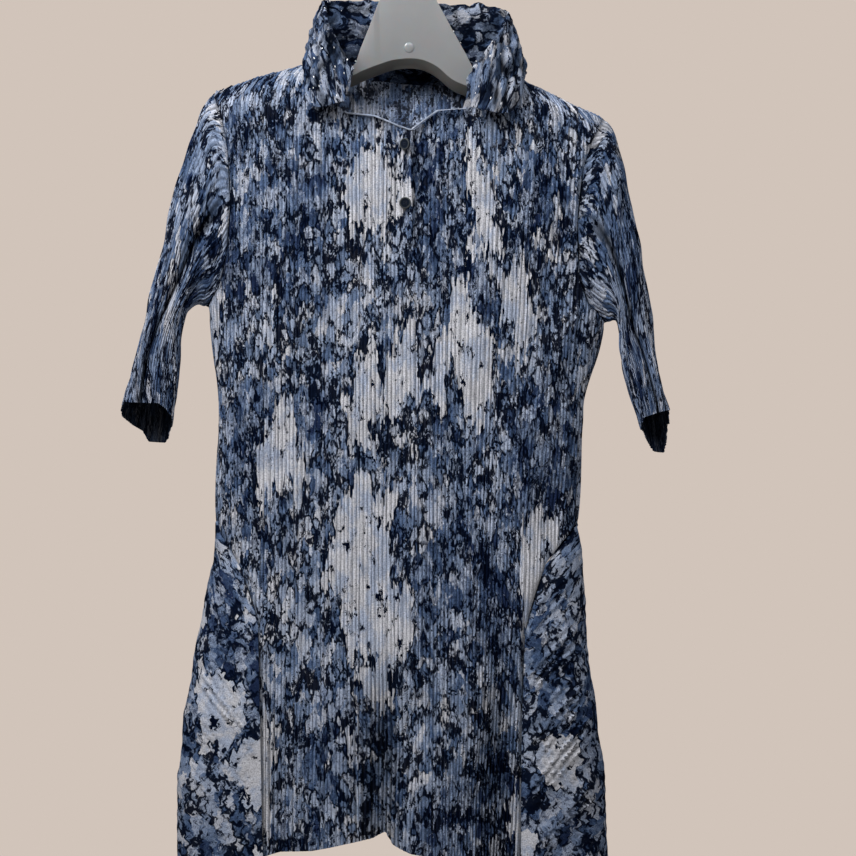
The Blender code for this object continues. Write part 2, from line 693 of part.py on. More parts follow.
def build():
    panels = body_panels()
    sleeve("sleeve_left", panels, 0, LEFT_RINGS)
    sleeve("sleeve_right", panels, -1, RIGHT_RINGS)
    gore("gore_left", panels, 0)
    gore("gore_right", panels, -1)
    collar(panels)
    strip("placket_upper", UPPER_STRIP, 132, 244, 3.0)
    strip("placket_under", UNDER_STRIP, 134, 246, -2.1)
    for number, (x, y, radius) in enumerate(BUTTONS, 1):
        button(number, x, y, radius)
    hanger()
    for name in ("front_body", "back_body", "sleeve_left", "sleeve_right", "gore_left", "gore_right",
                 "collar_stand", "collar_leaf", "placket_upper", "placket_under"):
        material(name, "printed cloth", (0.19, 0.23, 0.36), 0.75)
    for number in range(1, len(BUTTONS) + 1):
        material(f"button_{number}", "dark plastic", (0.04, 0.05, 0.08), 0.35)
    material("hanger", "frosted plastic", (0.55, 0.56, 0.58), 0.4)


for old in list(bpy.data.objects):
    bpy.data.objects.remove(old, do_unlink=True)
PARTS = bpy.data.collections.new("Long shirt on hanger")
TOOLS = bpy.data.collections.new("Cutters")
bpy.context.scene.collection.children.link(PARTS)
bpy.context.scene.collection.children.link(TOOLS)
build()
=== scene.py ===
import math

import bmesh
import bpy
import numpy as np
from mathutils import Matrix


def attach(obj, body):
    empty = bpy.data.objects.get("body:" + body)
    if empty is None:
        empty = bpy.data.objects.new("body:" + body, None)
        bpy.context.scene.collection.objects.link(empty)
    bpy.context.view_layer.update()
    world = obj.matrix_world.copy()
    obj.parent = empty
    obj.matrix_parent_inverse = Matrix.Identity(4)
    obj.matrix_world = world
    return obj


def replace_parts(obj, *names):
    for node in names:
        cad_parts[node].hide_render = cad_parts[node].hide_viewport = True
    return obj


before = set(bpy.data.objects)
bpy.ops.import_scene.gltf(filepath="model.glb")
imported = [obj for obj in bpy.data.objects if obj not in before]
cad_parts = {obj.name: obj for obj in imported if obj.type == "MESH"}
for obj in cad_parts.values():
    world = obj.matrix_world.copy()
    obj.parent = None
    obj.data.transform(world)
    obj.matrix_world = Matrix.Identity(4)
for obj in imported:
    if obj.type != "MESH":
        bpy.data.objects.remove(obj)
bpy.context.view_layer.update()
print("frame loaded")

# Plan millimetres: across and down on the front, back away from the viewer
origin = {"across": 408.0, "down": -115.0}

# The garment's outline at each height: down, left, right, front depth, back depth
sections = (
    (60, 214, 600, 38, 31), (90, 205, 612, 38, 31), (114, 196, 616, 39, 31), (150, 184, 624, 38, 31),
    (200, 176, 628, 37, 29), (240, 181, 626, 37, 30), (270, 190, 619, 37, 30), (290, 199, 612, 37, 30),
    (306, 207, 608, 37, 30), (322, 209, 606, 37, 30), (360, 213, 597, 37, 30), (400, 216, 586, 38, 31),
    (450, 216, 581, 40, 32), (490, 215, 578, 42, 33), (522, 215, 578, 44, 35), (560, 211, 584, 46, 37),
    (604, 202, 587, 49, 40), (666, 191, 591, 54, 44), (720, 182, 600, 58, 47), (780, 175, 607, 62, 50),
    (830, 174, 609, 65, 53), (880, 174, 610, 67, 55),
)
# Edges of the front and back panels: left across, left down, right across, right down, middle
panelEdges = (
    (211, 90, 605, 115, 411), (212, 93, 603.5, 118, 411), (215, 101, 600.5, 125, 411),
    (221, 118, 593, 140, 411), (227, 150, 584, 167, 411), (230, 200, 578, 222, 411),
    (226, 255, 580, 276, 411), (217, 288, 590, 304, 411), (207, 306, 606, 322, 411),
    (216, 400, 586, 400, 409), (215, 522, 578, 522, 406), (240, 568, 546, 564, 403.5),
    (258, 620, 525, 632, 401), (261, 735, 521, 742, 396.5), (264, 854, 520, 858, 392),
)
underarmRow, goreRow = 8, 10
frontTop = ((211, 90), (305, 61), (319, 88), (347, 114), (375, 117), (399, 127), (411, 131),
            (423, 122), (437, 112), (465, 110), (505, 101), (522, 77), (605, 115))
backTop = ((211, 90), (305, 61), (340, 70), (411, 78), (486, 80), (522, 77), (605, 115))
frontHem = ((174, 870), (264, 854), (282, 848), (313, 846), (346, 839), (372, 835), (386, 828),
            (394, 841), (411, 848), (440, 852), (480, 854), (520, 858), (610, 872))
backHem = ((174, 870), (264, 864), (285, 851), (391, 842), (498, 852), (520, 866), (610, 872))

# Hanging folds: from across, down, to across, down, half width, rise (less than 0 is a trough)
frontFolds = (
    (404, 500, 408, 700, 26, 6), (386, 620, 381, 880, 21, -14), (345, 560, 335, 880, 28, 6),
    (432, 600, 440, 880, 27, 7), (500, 560, 494, 880, 24, -11), (264, 590, 272, 880, 20, -6),
    (411, 100, 411, 360, 60, -4),
)
backFolds = (
    (400, 560, 404, 880, 24, -10), (340, 540, 330, 880, 26, 8), (455, 560, 462, 880, 26, 8),
    (285, 600, 280, 880, 22, -6), (508, 600, 512, 880, 22, -6),
)


def at(table, x, value):
    return np.interp(x, [row[0] for row in table], [row[value] for row in table])


def place(across, down, back):
    return np.stack(np.broadcast_arrays((np.asarray(across, float) - origin["across"]) / 1000,
                                        np.asarray(back, float) / 1000,
                                        (origin["down"] - np.asarray(down, float)) / 1000), axis=-1)


def placeRows(rows):
    return place(rows[..., 0], rows[..., 1], rows[..., 2])


def smoothStep(t):
    t = np.clip(t, 0, 1)
    return t * t * (3 - 2 * t)


def bell(x, middle, half):
    return np.exp(-(((x - middle) / half) ** 2))


def lengthAlong(points, axis=0):  # from the first point of each line
    steps = np.linalg.norm(np.diff(points, axis=axis), axis=-1)
    return np.insert(np.cumsum(steps, axis=axis), 0, 0, axis=axis)


def unit(vectors):
    return vectors / np.linalg.norm(vectors, axis=-1, keepdims=True)


def softNoise(x, y, size, seed):  # between about -1 and 1
    rng = np.random.default_rng(seed)
    total = 0
    for k in range(7):
        turn, phase = rng.uniform(0, 2 * math.pi, 2)
        wave = 2 * math.pi / (size * rng.uniform(0.6, 1.6))
        total = total + np.sin((x * math.cos(turn) + y * math.sin(turn)) * wave + phase)
    return total / 3.2


def foldRise(folds, across, down):
    total = 0
    for x0, y0, x1, y1, half, rise in folds:
        t = np.clip((down - y0) / (y1 - y0), 0, None)
        middle = x0 + (x1 - x0) * t
        grow = smoothStep(t * 1.6)
        if y1 < 400:
            grow = np.sin(np.pi * np.clip((down - y0) / (y1 - y0), 0, 1))
        total = total + rise * grow * bell(across, middle, half)
    return total


def bodyDepth(across, down, side, folded=1):
    left, right, deep = (at(sections, down, value) for value in (1, 2, 3 if side < 0 else 4))
    s = np.clip(np.abs((across - (left + right) / 2) / ((right - left) / 2)), 0, 1)
    form = np.sqrt(1 - s**2.4)
    shoulder = np.interp(across, (211, 305, 522, 605), (90, 61, 77, 115))
    neck = np.clip(1 - ((across - 413.5) / 108.5) ** 4, 0, 1)
    h = np.clip((down - shoulder) / 30 + neck, 0, 1)
    roll = np.sqrt(1 - (1 - h) ** 2)
    folds = foldRise(frontFolds if side < 0 else backFolds, across, down) * folded
    return np.maximum(deep * form * roll + folds * form, 0) + 0.22


def panelRows(side):  # across and down of the main rows
    count = 160
    share = np.linspace(0, 1, count + 1)
    topTable, hemTable = (frontTop, frontHem) if side < 0 else (backTop, backHem)
    tip, foot = panelEdges[0], panelEdges[-1]
    first, last = tip[0] + (tip[2] - tip[0]) * share, foot[0] + (foot[2] - foot[0]) * share
    top, hem = at(topTable, first, 1), at(hemTable, last, 1)
    acrossRows, downRows = [], []
    for number, (xl, yl, xr, yr, centre) in enumerate(panelEdges):
        tl, tr = (yl - tip[1]) / (foot[1] - tip[1]), (yr - tip[3]) / (foot[3] - tip[3])
        down = top + (hem - top) * (tl + (tr - tl) * share)
        if number in (0, len(panelEdges) - 1):
            across = first if number == 0 else last
        else:
            ends = (top[0] + (hem[0] - top[0]) * tl, top[-1] + (hem[-1] - top[-1]) * tr)
            if underarmRow <= number <= goreRow:
                xl, xr = at(sections, ends[0], 1), at(sections, ends[1], 2)
            w = (1 - np.cos(np.pi * np.linspace(0, 1, 600))) / 2
            x, y = xl + (xr - xl) * w, ends[0] + (ends[1] - ends[0]) * w
            run = lengthAlong(np.stack((x, bodyDepth(x, y, side)), axis=-1))
            across = np.interp(share * run[-1], run, x)
        acrossRows.append(across + (centre - across[count // 2]) * (1 - np.abs(2 * share - 1)))
        downRows.append(down)
    return np.array(acrossRows), np.array(downRows)


def between(rows, places):  # rows at fractional places, on a soft curve
    padded = np.concatenate((2 * rows[:1] - rows[1:2], rows, 2 * rows[-1:] - rows[-2:-1]))
    made = []
    for spot in places:
        k = min(int(spot), len(rows) - 2)
        t = spot - k
        a, b, c, d = padded[k:k + 4]
        made.append(0.5 * (2 * b + (c - a) * t + (2 * a - 5 * b + 4 * c - d) * t**2
                           + (3 * b - a - 3 * c + d) * t**3))
    return np.array(made)


def clothNormals(across, down, side):
    slopeX = (bodyDepth(across + 1, down, side) - bodyDepth(across - 1, down, side)) / 2
    slopeY = (bodyDepth(across, down + 1, side) - bodyDepth(across, down - 1, side)) / 2
    return unit(np.stack((-slopeX, np.full_like(slopeX, side), slopeY), axis=-1))


def gridNormals(points, closed=False):
    if closed:
        wide = np.concatenate((points[:, -2:-1], points, points[:, 1:2]), axis=1)
        along = wide[:, 2:] - wide[:, :-2]
    else:
        along = np.gradient(points, axis=1)
    n = np.cross(along, np.gradient(points, axis=0))
    return n / np.maximum(np.linalg.norm(n, axis=-1, keepdims=True), 1e-12)


def makeActive(piece, *others):
    if bpy.context.object and bpy.context.object.mode != "OBJECT":
        bpy.ops.object.mode_set(mode="OBJECT")
    bpy.ops.object.select_all(action="DESELECT")
    for each in (piece, *others):
        each.select_set(True)
    bpy.context.view_layer.objects.active = piece


# Cloth shell from grids of points, cloth coordinates and crest values, the crest height that also sets the painted
# shade
def clothPiece(outside, inside, name, grids, outward, thickness=0.0009):
    faces, base = [], 0
    for points, _, _ in grids:
        rows, columns = points.shape[:2]
        for j in range(rows - 1):
            for a in range(base + j * columns, base + (j + 1) * columns - 1):
                faces.append((a, a + 1, a + columns + 1, a + columns))
        base += rows * columns
    vertices, uvs = (np.concatenate([grid[k].reshape(-1, 3 - k) for grid in grids]) for k in (0, 1))
    crests = np.concatenate([grid[2].ravel() for grid in grids])
    mesh = bpy.data.meshes.new(name)
    mesh.from_pydata(vertices.tolist(), [], faces)
    corners = [loop.vertex_index for loop in mesh.loops]
    mesh.uv_layers.new(name="cloth").data.foreach_set("uv", uvs[corners].astype(np.float32).ravel())
    mesh.attributes.new("crest", "FLOAT", "POINT").data.foreach_set("value", crests.astype(np.float32))
    work = bmesh.new()
    work.from_mesh(mesh)
    bmesh.ops.remove_doubles(work, verts=work.verts[:], dist=0.00004)
    bmesh.ops.dissolve_degenerate(work, edges=work.edges[:], dist=0.00003)
    work.normal_update()
    total = sum(face.normal.dot(outward(face.calc_center_median())) for face in work.faces)
    if total < 0:
        bmesh.ops.reverse_faces(work, faces=work.faces[:])
    work.to_mesh(mesh)
    work.free()
    piece = bpy.data.objects.new(name, mesh)
    bpy.context.scene.collection.objects.link(piece)
    wall = piece.modifiers.new("wall", "SOLIDIFY")
    wall.thickness, wall.offset, wall.use_even_offset = thickness, -1, False
    wall.material_offset, wall.material_offset_rim = 1, 0
    mesh.materials.append(outside)
    mesh.materials.append(inside)
    makeActive(piece)
    bpy.ops.object.modifier_apply(modifier="wall")
    bpy.ops.object.shade_smooth_by_angle(angle=math.radians(60))
    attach(piece, "root")
    print("made", name, len(piece.data.polygons), "faces")
    return piece


clothLook = {
    "deep": (0.0010, 0.0026, 0.0100), "navy": (0.012, 0.021, 0.056), "blue": (0.058, 0.095, 0.182),
    "slate": (0.150, 0.200, 0.305), "lavender": (0.296, 0.342, 0.445), "pale": (0.462, 0.468, 0.508),
    "roughness": 0.72,
}
printPlace = {  # where each piece is cut from the printed cloth, across and down, in metres
    "front": (1.9, 0.62), "back": (0.46, 0), "sleeveLeft": (2.3, 0.1), "sleeveRight": (2.9, 0.1),
    "goreLeft": (5.315, 0), "goreRight": (7.729, 0), "collar": (5.0, 0), "neckEdge": (6.0, 0),
}


def addNode(tree, kind, settings=None, **sockets):
    made = tree.nodes.new(kind)
    for key, value in (settings or {}).items():
        setattr(made, key, value)
    for key, value in sockets.items():
        target = made.inputs[int(key[1:])] if key[0] == "n" and key[1:].isdigit() else made.inputs[key]
        if isinstance(value, bpy.types.NodeSocket):
            tree.links.new(value, target)
        else:
            target.default_value = value
    return made


def maths(tree, operation, a, b=0.0, c=0.0):
    return addNode(tree, "ShaderNodeMath", {"operation": operation}, n0=a, n1=b, n2=c).outputs[0]


def ramp(tree, factor, stops):
    node = addNode(tree, "ShaderNodeValToRGB", None, Fac=factor)
    elements = node.color_ramp.elements
    while len(elements) < len(stops):
        elements.new(0.5)
    for element, (position, colour) in zip(elements, stops):
        element.position = position
        element.color = (*colour, 1)
    return node.outputs[0]


def mixColour(tree, factor, a, b, blend="MIX"):
    a, b = (value if isinstance(value, bpy.types.NodeSocket) else (*value, 1) for value in (a, b))
    return addNode(tree, "ShaderNodeMix", {"data_type": "RGBA", "blend_type": blend}, n0=factor, n6=a, n7=b).outputs[2]


def stepMask(tree, value, low, high):
    return addNode(tree, "ShaderNodeMapRange", {"interpolation_type": "SMOOTHSTEP"},
                   Value=value, n1=low, n2=high, n3=0.0, n4=1.0).outputs[0]


# The print group also paints shade: darker pleat grooves, seams and crease bottoms, and light and dark streaks along
# the pleats
def makePrintAndShadeGroup():
    group = bpy.data.node_groups.new("mottledPrintAndShade", "ShaderNodeTree")
    group.interface.new_socket("Cloth", in_out="INPUT", socket_type="NodeSocketVector")
    for name, default in (("Stretch", 1.8), ("Size", 1.0), ("Pleated", 1.0), ("Crest", 0.5), ("Patches", 1.0)):
        group.interface.new_socket(name, in_out="INPUT", socket_type="NodeSocketFloat").default_value = default
    for name, kind in (("Colour", "NodeSocketColor"), ("Height", "NodeSocketFloat")):
        group.interface.new_socket(name, in_out="OUTPUT", socket_type=kind)
    inn, out = group.nodes.new("NodeGroupInput"), group.nodes.new("NodeGroupOutput")
    cloth, stretch, size, pleated, crest, patches = inn.outputs[:6]
    look = clothLook

    def times(a, b):
        return maths(group, "MULTIPLY", a, b)

    def minus(a, b):
        return maths(group, "SUBTRACT", a, b)

    def timesPlus(a, b, c):
        return maths(group, "MULTIPLY_ADD", a, b, c)

    def step(value, low, high):
        return stepMask(group, value, low, high)

    def remap(value, low, high, least, most):
        return addNode(group, "ShaderNodeMapRange", None, Value=value, n1=low, n2=high, n3=least, n4=most).outputs[0]

    def flat(x, y):
        return addNode(group, "ShaderNodeCombineXYZ", None, n0=x, n1=y).outputs[0]

    def shifted(vector, shift):
        return addNode(group, "ShaderNodeVectorMath", {"operation": "ADD"}, n0=vector, n1=shift).outputs[0]

    def noise(vector, scale, detail=2.0, rough=0.5, offset=0.0, kind="Fac"):
        moved = shifted(vector, (offset, offset * 0.7, offset * 1.3))
        return addNode(group, "ShaderNodeTexNoise", None, Vector=moved, Scale=scale, Detail=detail,
                       Roughness=rough).outputs[kind]

    def warp(vector, scale, amount, offset):
        shift = addNode(group, "ShaderNodeVectorMath", {"operation": "SUBTRACT"},
                        n0=noise(vector, scale, 2.0, 0.6, offset, "Color"), n1=(0.5, 0.5, 0.5)).outputs[0]
        return shifted(vector, addNode(group, "ShaderNodeVectorMath", {"operation": "SCALE"}, n0=shift,
                                       Scale=amount).outputs[0])

    def cells(vector, scale, feature="F1"):
        return addNode(group, "ShaderNodeTexVoronoi", {"feature": feature}, Vector=vector, Scale=scale).outputs

    def channels(colour):
        return addNode(group, "ShaderNodeSeparateColor", None, n0=colour).outputs

    parts = addNode(group, "ShaderNodeSeparateXYZ", None, n0=cloth)
    u, v = times(parts.outputs[0], 100.0), times(parts.outputs[1], 100.0)

    # Each strip of the pleating shows the print a little higher or lower than the next
    def stripJump(perUnit):
        strip = maths(group, "FLOOR", times(u, perUnit))
        level = addNode(group, "ShaderNodeTexWhiteNoise", {"noise_dimensions": "1D"}, W=strip).outputs[0]
        return times(minus(level, 0.5), pleated)

    jump, leap = stripJump(5.1), stripJump(2.3)
    unpleated = minus(1.0, pleated)
    tooth = times(unpleated, times(maths(group, "PINGPONG", u, 0.5), 0.9))
    wideSize = timesPlus(unpleated, 0.2, 1.0)
    vSmall = maths(group, "DIVIDE", timesPlus(jump, 0.75, v), times(stretch, size))
    vMoved = maths(group, "ADD", tooth, timesPlus(leap, 2.6, timesPlus(jump, 0.9, v)))
    vLarge = maths(group, "DIVIDE", vMoved, times(stretch, timesPlus(pleated, 0.35, wideSize)))
    small = flat(maths(group, "DIVIDE", u, size), vSmall)
    large = flat(maths(group, "DIVIDE", u, wideSize), vLarge)
    bent = warp(warp(small, 0.8, 1.1, 3.1), 3.4, 0.42, 8.7)

    # Mottled ground
    region = noise(small, 0.16, 1.0, 0.5, 21.0)
    pick = channels(cells(bent, 1.25)["Color"])[0]
    tone = timesPlus(noise(bent, 0.95, 6.0, 0.66), 0.8, timesPlus(region, 0.65, timesPlus(pick, 0.70, -0.56)))
    colour = ramp(group, tone, ((0.12, look["navy"]), (0.27, look["blue"]), (0.48, look["slate"]),
                                (0.74, look["lavender"]), (1.0, look["pale"])))
    speck = step(timesPlus(minus(0.5, region), 0.35, noise(bent, 3.0, 4.0, 0.7, 5.0)), 0.52, 0.60)
    colour = mixColour(group, times(speck, 0.7), colour, look["navy"])
    glint = step(noise(bent, 2.2, 3.0, 0.65, 44.0), 0.60, 0.68)
    colour = mixColour(group, times(glint, 0.7), colour, look["lavender"])
    # Broken dark outlines round the cells, and dark leafy blots
    edge = cells(bent, 1.25, "DISTANCE_TO_EDGE")["Distance"]
    line = times(minus(1.0, step(edge, 0.075, 0.14)), step(noise(small, 0.8, 3.0, 0.6, 12.0), 0.455, 0.52))
    blots = step(noise(bent, 0.62, 5.0, 0.68, 15.0), 0.575, 0.59)
    blotsSmall = step(noise(bent, 1.5, 4.0, 0.68, 64.0), 0.59, 0.605)
    # Large pale patches with toothed ends
    patchCell = cells(warp(warp(large, 0.16, 3.0, 52.0), 0.7, 1.1, 58.0), 0.135)
    chosen = channels(patchCell["Color"])
    reach = timesPlus(chosen[1], 0.20, 0.82)
    patchValue = timesPlus(noise(large, 0.30, 4.0, 0.6, 60.0), 1.25, minus(patchCell["Distance"], reach))
    allowed = times(maths(group, "GREATER_THAN", chosen[0], 0.15), patches)
    patch = times(minus(1.0, step(patchValue, -0.015, 0.0)), allowed)
    rim = times(minus(1.0, step(patchValue, 0.05, 0.08)), step(noise(bent, 0.7, 4.0, 0.65, 90.0), 0.45, 0.50))
    dark = maths(group, "MAXIMUM", maths(group, "MAXIMUM", line, blotsSmall),
                 maths(group, "MAXIMUM", blots, times(rim, allowed)))
    colour = mixColour(group, times(dark, 0.98), colour, look["deep"])
    paleTone = mixColour(group, step(noise(bent, 0.6, 4.0, 0.65, 130.0), 0.42, 0.62), look["pale"], look["lavender"])
    paleTone = mixColour(group, step(noise(bent, 0.95, 5.0, 0.70, 120.0), 0.585, 0.605), paleTone, look["deep"])
    colour = mixColour(group, patch, colour, paleTone)
    # Painted light and shade in fine streaks along the pleats, and grain
    streakShading = remap(noise(flat(times(u, 7.0), times(v, 0.45)), 1.0, 3.0, 0.6, 7.0), 0.3, 0.7, 0.66, 1.2)
    streakShading = timesPlus(minus(streakShading, 1.0), pleated, 1.0)
    grain = remap(noise(flat(u, v), 8.0, 2.0, 0.7, 33.0), 0.35, 0.65, 0.68, 1.3)
    # Painted shade: a low crest darkens the pleat grooves, and one below nothing paints deeper shade at a seam or the
    # bottom of a crease
    sunkShade = maths(group, "MAXIMUM", maths(group, "MINIMUM", crest, 0.0), -0.9)
    grooveShade = times(remap(crest, 0.0, 0.6, 0.46, 1.0), maths(group, "ADD", 1.0, sunkShade))
    shade = times(grain, times(streakShading, grooveShade))
    shade = addNode(group, "ShaderNodeCombineColor", None, n0=shade, n1=shade, n2=shade).outputs[0]
    group.links.new(mixColour(group, 1.0, colour, shade, "MULTIPLY"), out.inputs[0])
    weave = times(noise(cloth, 1400.0, 2.0, 0.6), 0.25)
    group.links.new(timesPlus(noise(small, 2.6, 3.0, 0.6, 9.0), 0.6, weave), out.inputs[1])
    return group


printAndShadeGroup = makePrintAndShadeGroup()


def newMaterial(name, values):
    made = bpy.data.materials.new(name)
    made.use_nodes = True
    shader = made.node_tree.nodes["Principled BSDF"]
    for key, value in values.items():
        shader.inputs[key].default_value = value
    return made, made.node_tree, shader


def clothMaterial(name, stretch, size, pleated, patches=1.0, paintedLight=0.0, dim=1.0, paintedLightGain=1.0, bump=0.25, glints=False):
    made, tree, shader = newMaterial(name, {"Roughness": clothLook["roughness"], "Specular IOR Level": 0.0})
    uv = addNode(tree, "ShaderNodeUVMap", {"uv_map": "cloth"}).outputs[0]
    crest = addNode(tree, "ShaderNodeAttribute", {"attribute_name": "crest"}).outputs["Fac"]
    group = addNode(tree, "ShaderNodeGroup", {"node_tree": printAndShadeGroup}, Cloth=uv, Stretch=stretch, Size=size,
                    Pleated=pleated, Crest=crest, Patches=patches)
    colour = group.outputs["Colour"]
    # Painted light: mixes the print towards a pale grey-blue
    if paintedLight:
        colour = mixColour(tree, paintedLight, colour, (0.30, 0.34, 0.42))
    # Painted light: brightens the print by this factor
    if paintedLightGain > 1:
        colour = mixColour(tree, 1.0, colour, (paintedLightGain, paintedLightGain, paintedLightGain), "MULTIPLY")
    # Darkens the colour towards near black: painted shade on the sleeve inside, a darker tone on the godet and collar
    # outsides
    if dim < 1:
        colour = mixColour(tree, 1 - dim, colour, (0.004, 0.006, 0.012))
    if glints:
        sparks = addNode(tree, "ShaderNodeTexVoronoi", {"feature": "F1"}, Vector=uv, Scale=330.0)
        lit = addNode(tree, "ShaderNodeSeparateColor", None, n0=sparks.outputs["Color"]).outputs[0]
        lit = maths(tree, "GREATER_THAN", lit, 0.955)
        lit = maths(tree, "MULTIPLY", maths(tree, "LESS_THAN", sparks.outputs["Distance"], 0.24), lit)
        colour = mixColour(tree, lit, colour, (0.85, 0.87, 0.92))
    tree.links.new(colour, shader.inputs["Base Color"])
    raised = addNode(tree, "ShaderNodeBump", None, Strength=bump, Distance=0.0012, Height=group.outputs["Height"])
    tree.links.new(raised.outputs[0], shader.inputs["Normal"])
    return made


# The inside copies are painted lighter as painted light where the insides lie in shade, and the sleeve inside is
# painted dark as painted shade
pleatOut = clothMaterial("pleatedPrint", 1.75, 1.0, 1.0)
pleatIn = clothMaterial("pleatedPrintInsideLit", 1.3, 1.3, 1.0, 0.0, paintedLight=0.04, paintedLightGain=1.7)
sleeveOut = clothMaterial("sleevePrint", 1.5, 1.25, 1.0, 0.0)
cuffIn = clothMaterial("sleevePrintInsideShaded", 1.75, 1.0, 1.0, 0.0, dim=0.16)
goreOut = clothMaterial("godetPrint", 1.15, 1.5, 0.0, 1.0, dim=0.9, bump=0.4)
goreIn = clothMaterial("godetPrintInsideLit", 1.15, 1.2, 0.0, 1.0, paintedLight=0.2)
collarOut = clothMaterial("collarPrint", 0.72, 2.1, 0.0, 0.0, dim=0.74, bump=0.6, glints=True)
# Painted highlight: the neckline's edge roll is painted pale as light caught on the edge
edgeCloth = clothMaterial("edgePrintLit", 1.1, 1.3, 0.0, 0.0, paintedLight=0.6)
collarIn = clothMaterial("collarPrintInsideLit", 0.8, 2.1, 0.0, 0.0, paintedLight=0.04, paintedLightGain=1.5, bump=0.6)

pleats = {"pitch": 3.9, "rise": 1.35, "profile": (0.0, 0.8, 1.0, 0.45), "rowStep": 7.8, "span": 245,
          "drift": 0.8, "sway": 0.5, "lean": 0.06, "soft": 1.3, "crinkle": 0.45}  # how uneven the pleats are
creases = {
    -1: (
        (232, 300, 262, 420, 9, -3.0), (250, 285, 300, 470, 13, 2.2), (585, 300, 556, 420, 9, -2.6),
        (566, 300, 530, 470, 12, 2.0), (330, 150, 300, 330, 20, 2.0), (500, 150, 525, 330, 22, 1.8),
        (240, 130, 262, 250, 12, -1.8), (578, 160, 560, 260, 12, -1.8), (300, 480, 290, 760, 18, -3.0),
        (462, 520, 470, 800, 15, 3.0), (545, 470, 560, 570, 12, -2.0), (360, 300, 366, 560, 24, 1.6),
        (455, 250, 450, 520, 24, -1.4), (418, 640, 410, 850, 10, -3.0), (360, 660, 358, 850, 10, -2.4),
    ),
    1: (
        (240, 290, 268, 430, 11, -2.6), (575, 290, 548, 430, 11, -2.6), (300, 140, 330, 360, 22, 2.0),
        (520, 140, 490, 360, 22, 2.0), (410, 110, 408, 420, 26, -2.4), (360, 430, 356, 760, 20, -2.6),
        (450, 430, 458, 760, 20, -2.6), (310, 520, 300, 820, 14, 2.4), (505, 520, 512, 820, 14, 2.4),
    ),
}


def creaseRise(table, across, down):
    total = 0
    for x0, y0, x1, y1, half, rise in table:
        t = (down - y0) / (y1 - y0)
        middle = x0 + (x1 - x0) * t
        total = total + rise * smoothStep(t * 3) * smoothStep((1 - t) * 3) * bell(across, middle, half)
    return total


def panelSheet(name, side):
    acrossRows, downRows = panelRows(side)
    mean = downRows[:, 40]
    places = []
    for k in range(len(mean) - 1):
        steps = max(1, round((mean[k + 1] - mean[k]) / pleats["rowStep"]))
        places += list(k + np.arange(steps) / steps)
    places.append(len(mean) - 1)
    spots = np.array(places)
    lower = np.minimum(spots.astype(int), len(mean) - 2)
    across = between(acrossRows, places)
    down = downRows[lower] + (downRows[lower + 1] - downRows[lower]) * (spots - lower)[:, None]
    reach = int(pleats["span"] / pleats["pitch"]) * 4
    columns = np.arange(-reach, reach + 1)
    rng = np.random.default_rng(11 if side < 0 else 12)
    number = columns // 4 + reach
    ranges = ((-0.5, 0.5), (0.65, 1.3), (0, 6.3))
    drift, tall, swing = (rng.uniform(*limits, number.max() + 2)[number] for limits in ranges)
    height = np.array(pleats["profile"])[columns % 4]
    folds = frontFolds if side < 0 else backFolds
    troughs = [fold for fold in folds if fold[5] < 0 and fold[3] > 400]
    # The front is two halves, so that its slit can open
    halves = ((slice(0, reach + 1), -1, -0.0003), (slice(reach, None), 0, 0.0003))
    if side > 0:
        halves = ((slice(None), 0, 0),)
    grids = [([], [], []) for _ in halves]
    for j in range(len(places)):
        plain = bodyDepth(across[j], down[j], side, 0)
        run = lengthAlong(np.stack((across[j], plain), axis=-1))
        run -= np.interp(411, across[j], run)
        level = np.interp(0, run, down[j])
        want = columns * pleats["pitch"] / 4 + drift * pleats["drift"]
        want = want + pleats["sway"] * np.sin(level / 46 + swing)
        want = want - pleats["lean"] * (level - 480) * smoothStep(want / 130)
        want = np.maximum.accumulate(np.clip(np.where(columns == 0, 0, want), run[0], run[-1]))
        x, y = np.interp(want, run, across[j]), np.interp(want, run, down[j])
        edge = smoothStep(np.minimum(want - run[0], run[-1] - want) / 5)
        wave = 0.85 + 0.3 * np.sin(y / 23 + swing * 2.7)
        crest = height * edge
        lift = pleats["rise"] * crest * tall * wave
        lift = lift + edge * pleats["soft"] * softNoise(x, y, 90, 5 + side)
        lift = lift + edge * pleats["crinkle"] * softNoise(x, y, 34, 8 + side)
        lift = lift + creaseRise(creases[side], x, y) - 0.6 * (1 - edge)
        # Painted shade: crest is lowered at the lower seams and in the deep hanging troughs
        crest = crest - 0.35 * (1 - edge) * smoothStep((y - 620) / 60)
        crest = crest - 0.7 * smoothStep(-foldRise(troughs, x, y) / 12)
        if side < 0:
            # Painted shadow line down the slit where the front overlaps
            line = bell(want, 1.0, 0.9) * smoothStep((243 - y) / 4)  # the overlap's edge
            crest = crest * (1 - line) - 0.85 * line
            below = y - at(frontTop, x, 1)
            lift = lift - 1.6 * smoothStep((x - 410) / 1.5) * smoothStep((432 - x) / 14) * smoothStep((246 - y) / 8)
            near = smoothStep((x - 338) / 14) * smoothStep((476 - x) / 14)
            lift = lift + near * (1.8 * bell(below, 0, 4) - 3.2 * bell(below, 13, 8))
        depth = bodyDepth(x, y, side)
        points = place(x, y, side * depth) + clothNormals(x, y, side) * lift[:, None] / 1000
        coords = np.stack((want, y), axis=-1) / 1000 + printPlace["front" if side < 0 else "back"]
        for grid, (part, edgePoint, shift) in zip(grids, halves):
            piece = points[part].copy()
            piece[edgePoint, 0] += shift if level < 240 else 0
            for store, value in zip(grid, (piece, coords[part], crest[part])):
                store.append(value)
    return name, [tuple(map(np.array, grid)) for grid in grids], lambda c: (0, side, 0)


def panelEdge(side, edge, start, stop):
    acrossRows, downRows = panelRows(side)
    x, y = acrossRows[start:stop, edge], downRows[start:stop, edge]
    return np.stack((x, y, side * bodyDepth(x, y, side)), axis=-1)


